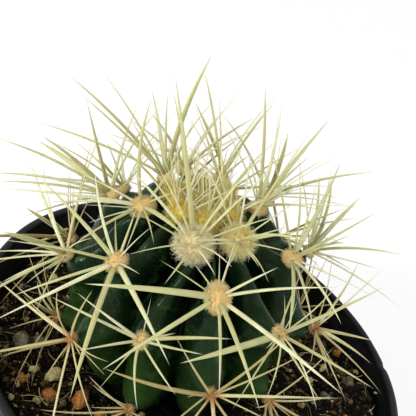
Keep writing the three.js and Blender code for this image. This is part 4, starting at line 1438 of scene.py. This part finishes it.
def fibres(count, draw):
    """Thin strands that lie on the ground in a bow."""
    middle = on_soil(count, draw, -0.5)
    count = len(middle)
    turn = draw.uniform(0, 2 * np.pi, count)
    flat = np.stack([np.cos(turn), np.sin(turn), draw.uniform(-0.15, 0.15, count)], -1)
    half = draw.uniform(*FIBRE_HALF, (count, 1))
    bow = sideways(flat, draw) * [1, 1, 0.2] * half * FIBRE_BOW
    ends = middle - flat * half, middle + bow, middle + flat * half
    rows = strands(*ends, draw.uniform(*FIBRE_WIDTH, count), FIBRE_TAPER, draw)
    return sweep(rows, *FIBRE_SECTION)


fibre_finish = Finish("root_fibre", Roughness=0.9, Specular_IOR_Level=0.15)
fibre_tone = fibre_finish.ramp(
    fibre_finish.stored("tone") * 0.8 + fibre_finish.noise(0.5) * 0.3,
    (0.1, colour(46, 36, 22)), (0.5, colour(124, 106, 66)), (0.9, colour(198, 182, 134)),
)
fibre_finish.feed(Base_Color=fibre_tone)
points, faces, values = fibres(FIBRES, np.random.default_rng(55))
add_piece("root_fibres", points, faces, fibre_finish.material, "soil", **values)

# %% [markdown]
# ## Light and floor
#
# The photograph was taken on white, under soft light from all sides. A ring of lamps could do it,
# but a pale floor and a bright, even world do the same without their reflections. One small
# lamp in front at the left puts a glint on the waxy skin.

# %% Floor, world and lights
FLOOR_HALF = 10000
FLOOR_DROP = 0.02       # under the pot's foot, so that the two faces don't fight
ROOM_STRENGTH = 1.04
TARGET = np.array([0.0, 0.0, RIM])
LAMP_PLACE = TARGET + [-300, -350, 220]
LAMP_SIZE = 80
LAMP_POWER = 1.1


def floor_points():
    """A large square just under the pot's foot."""
    corners = FLOOR_HALF * np.array([[-1, -1, 0], [1, -1, 0], [1, 1, 0], [-1, 1, 0]], float)
    return corners - [0, 0, FLOOR_DROP]


floor_finish = Finish("floor_white", Roughness=0.7)
cloudy = floor_finish.noise(0.02, 2)
floor_finish.feed(Base_Color=floor_finish.layers(colour(247, 247, 247), ((251, 251, 251), cloudy)))
floor_mesh = bpy.data.meshes.new("floor")
floor_mesh.from_pydata((floor_points() * MM).tolist(), [], [(0, 1, 2, 3)])
floor_mesh.materials.append(floor_finish.material)
floor = link("floor", floor_mesh)

room = bpy.data.worlds.new("white_room")
room.use_nodes = True
background = room.node_tree.nodes["Background"]
background.inputs["Color"].default_value = (1.0, 1.0, 1.0, 1.0)
background.inputs["Strength"].default_value = ROOM_STRENGTH
bpy.context.scene.world = room


def soft_light(name, place, target, size, power):
    """A square lamp at a place in mm that faces a target."""
    lamp = bpy.data.lights.new(name, "AREA")
    lamp.size = size * MM
    lamp.energy = power
    back = unit(place - target)
    side = unit(np.cross([0.13, 1.0, 0.0], back))
    aim(link(name, lamp), side, np.cross(back, side), back, place)


soft_light("key", LAMP_PLACE, TARGET, LAMP_SIZE, LAMP_POWER)
bpy.context.scene.view_settings.view_transform = "Standard"
bpy.context.scene.view_settings.look = "None"

# %% [markdown]
# The dressed object must stay within the box of the packed model, give or take a little.
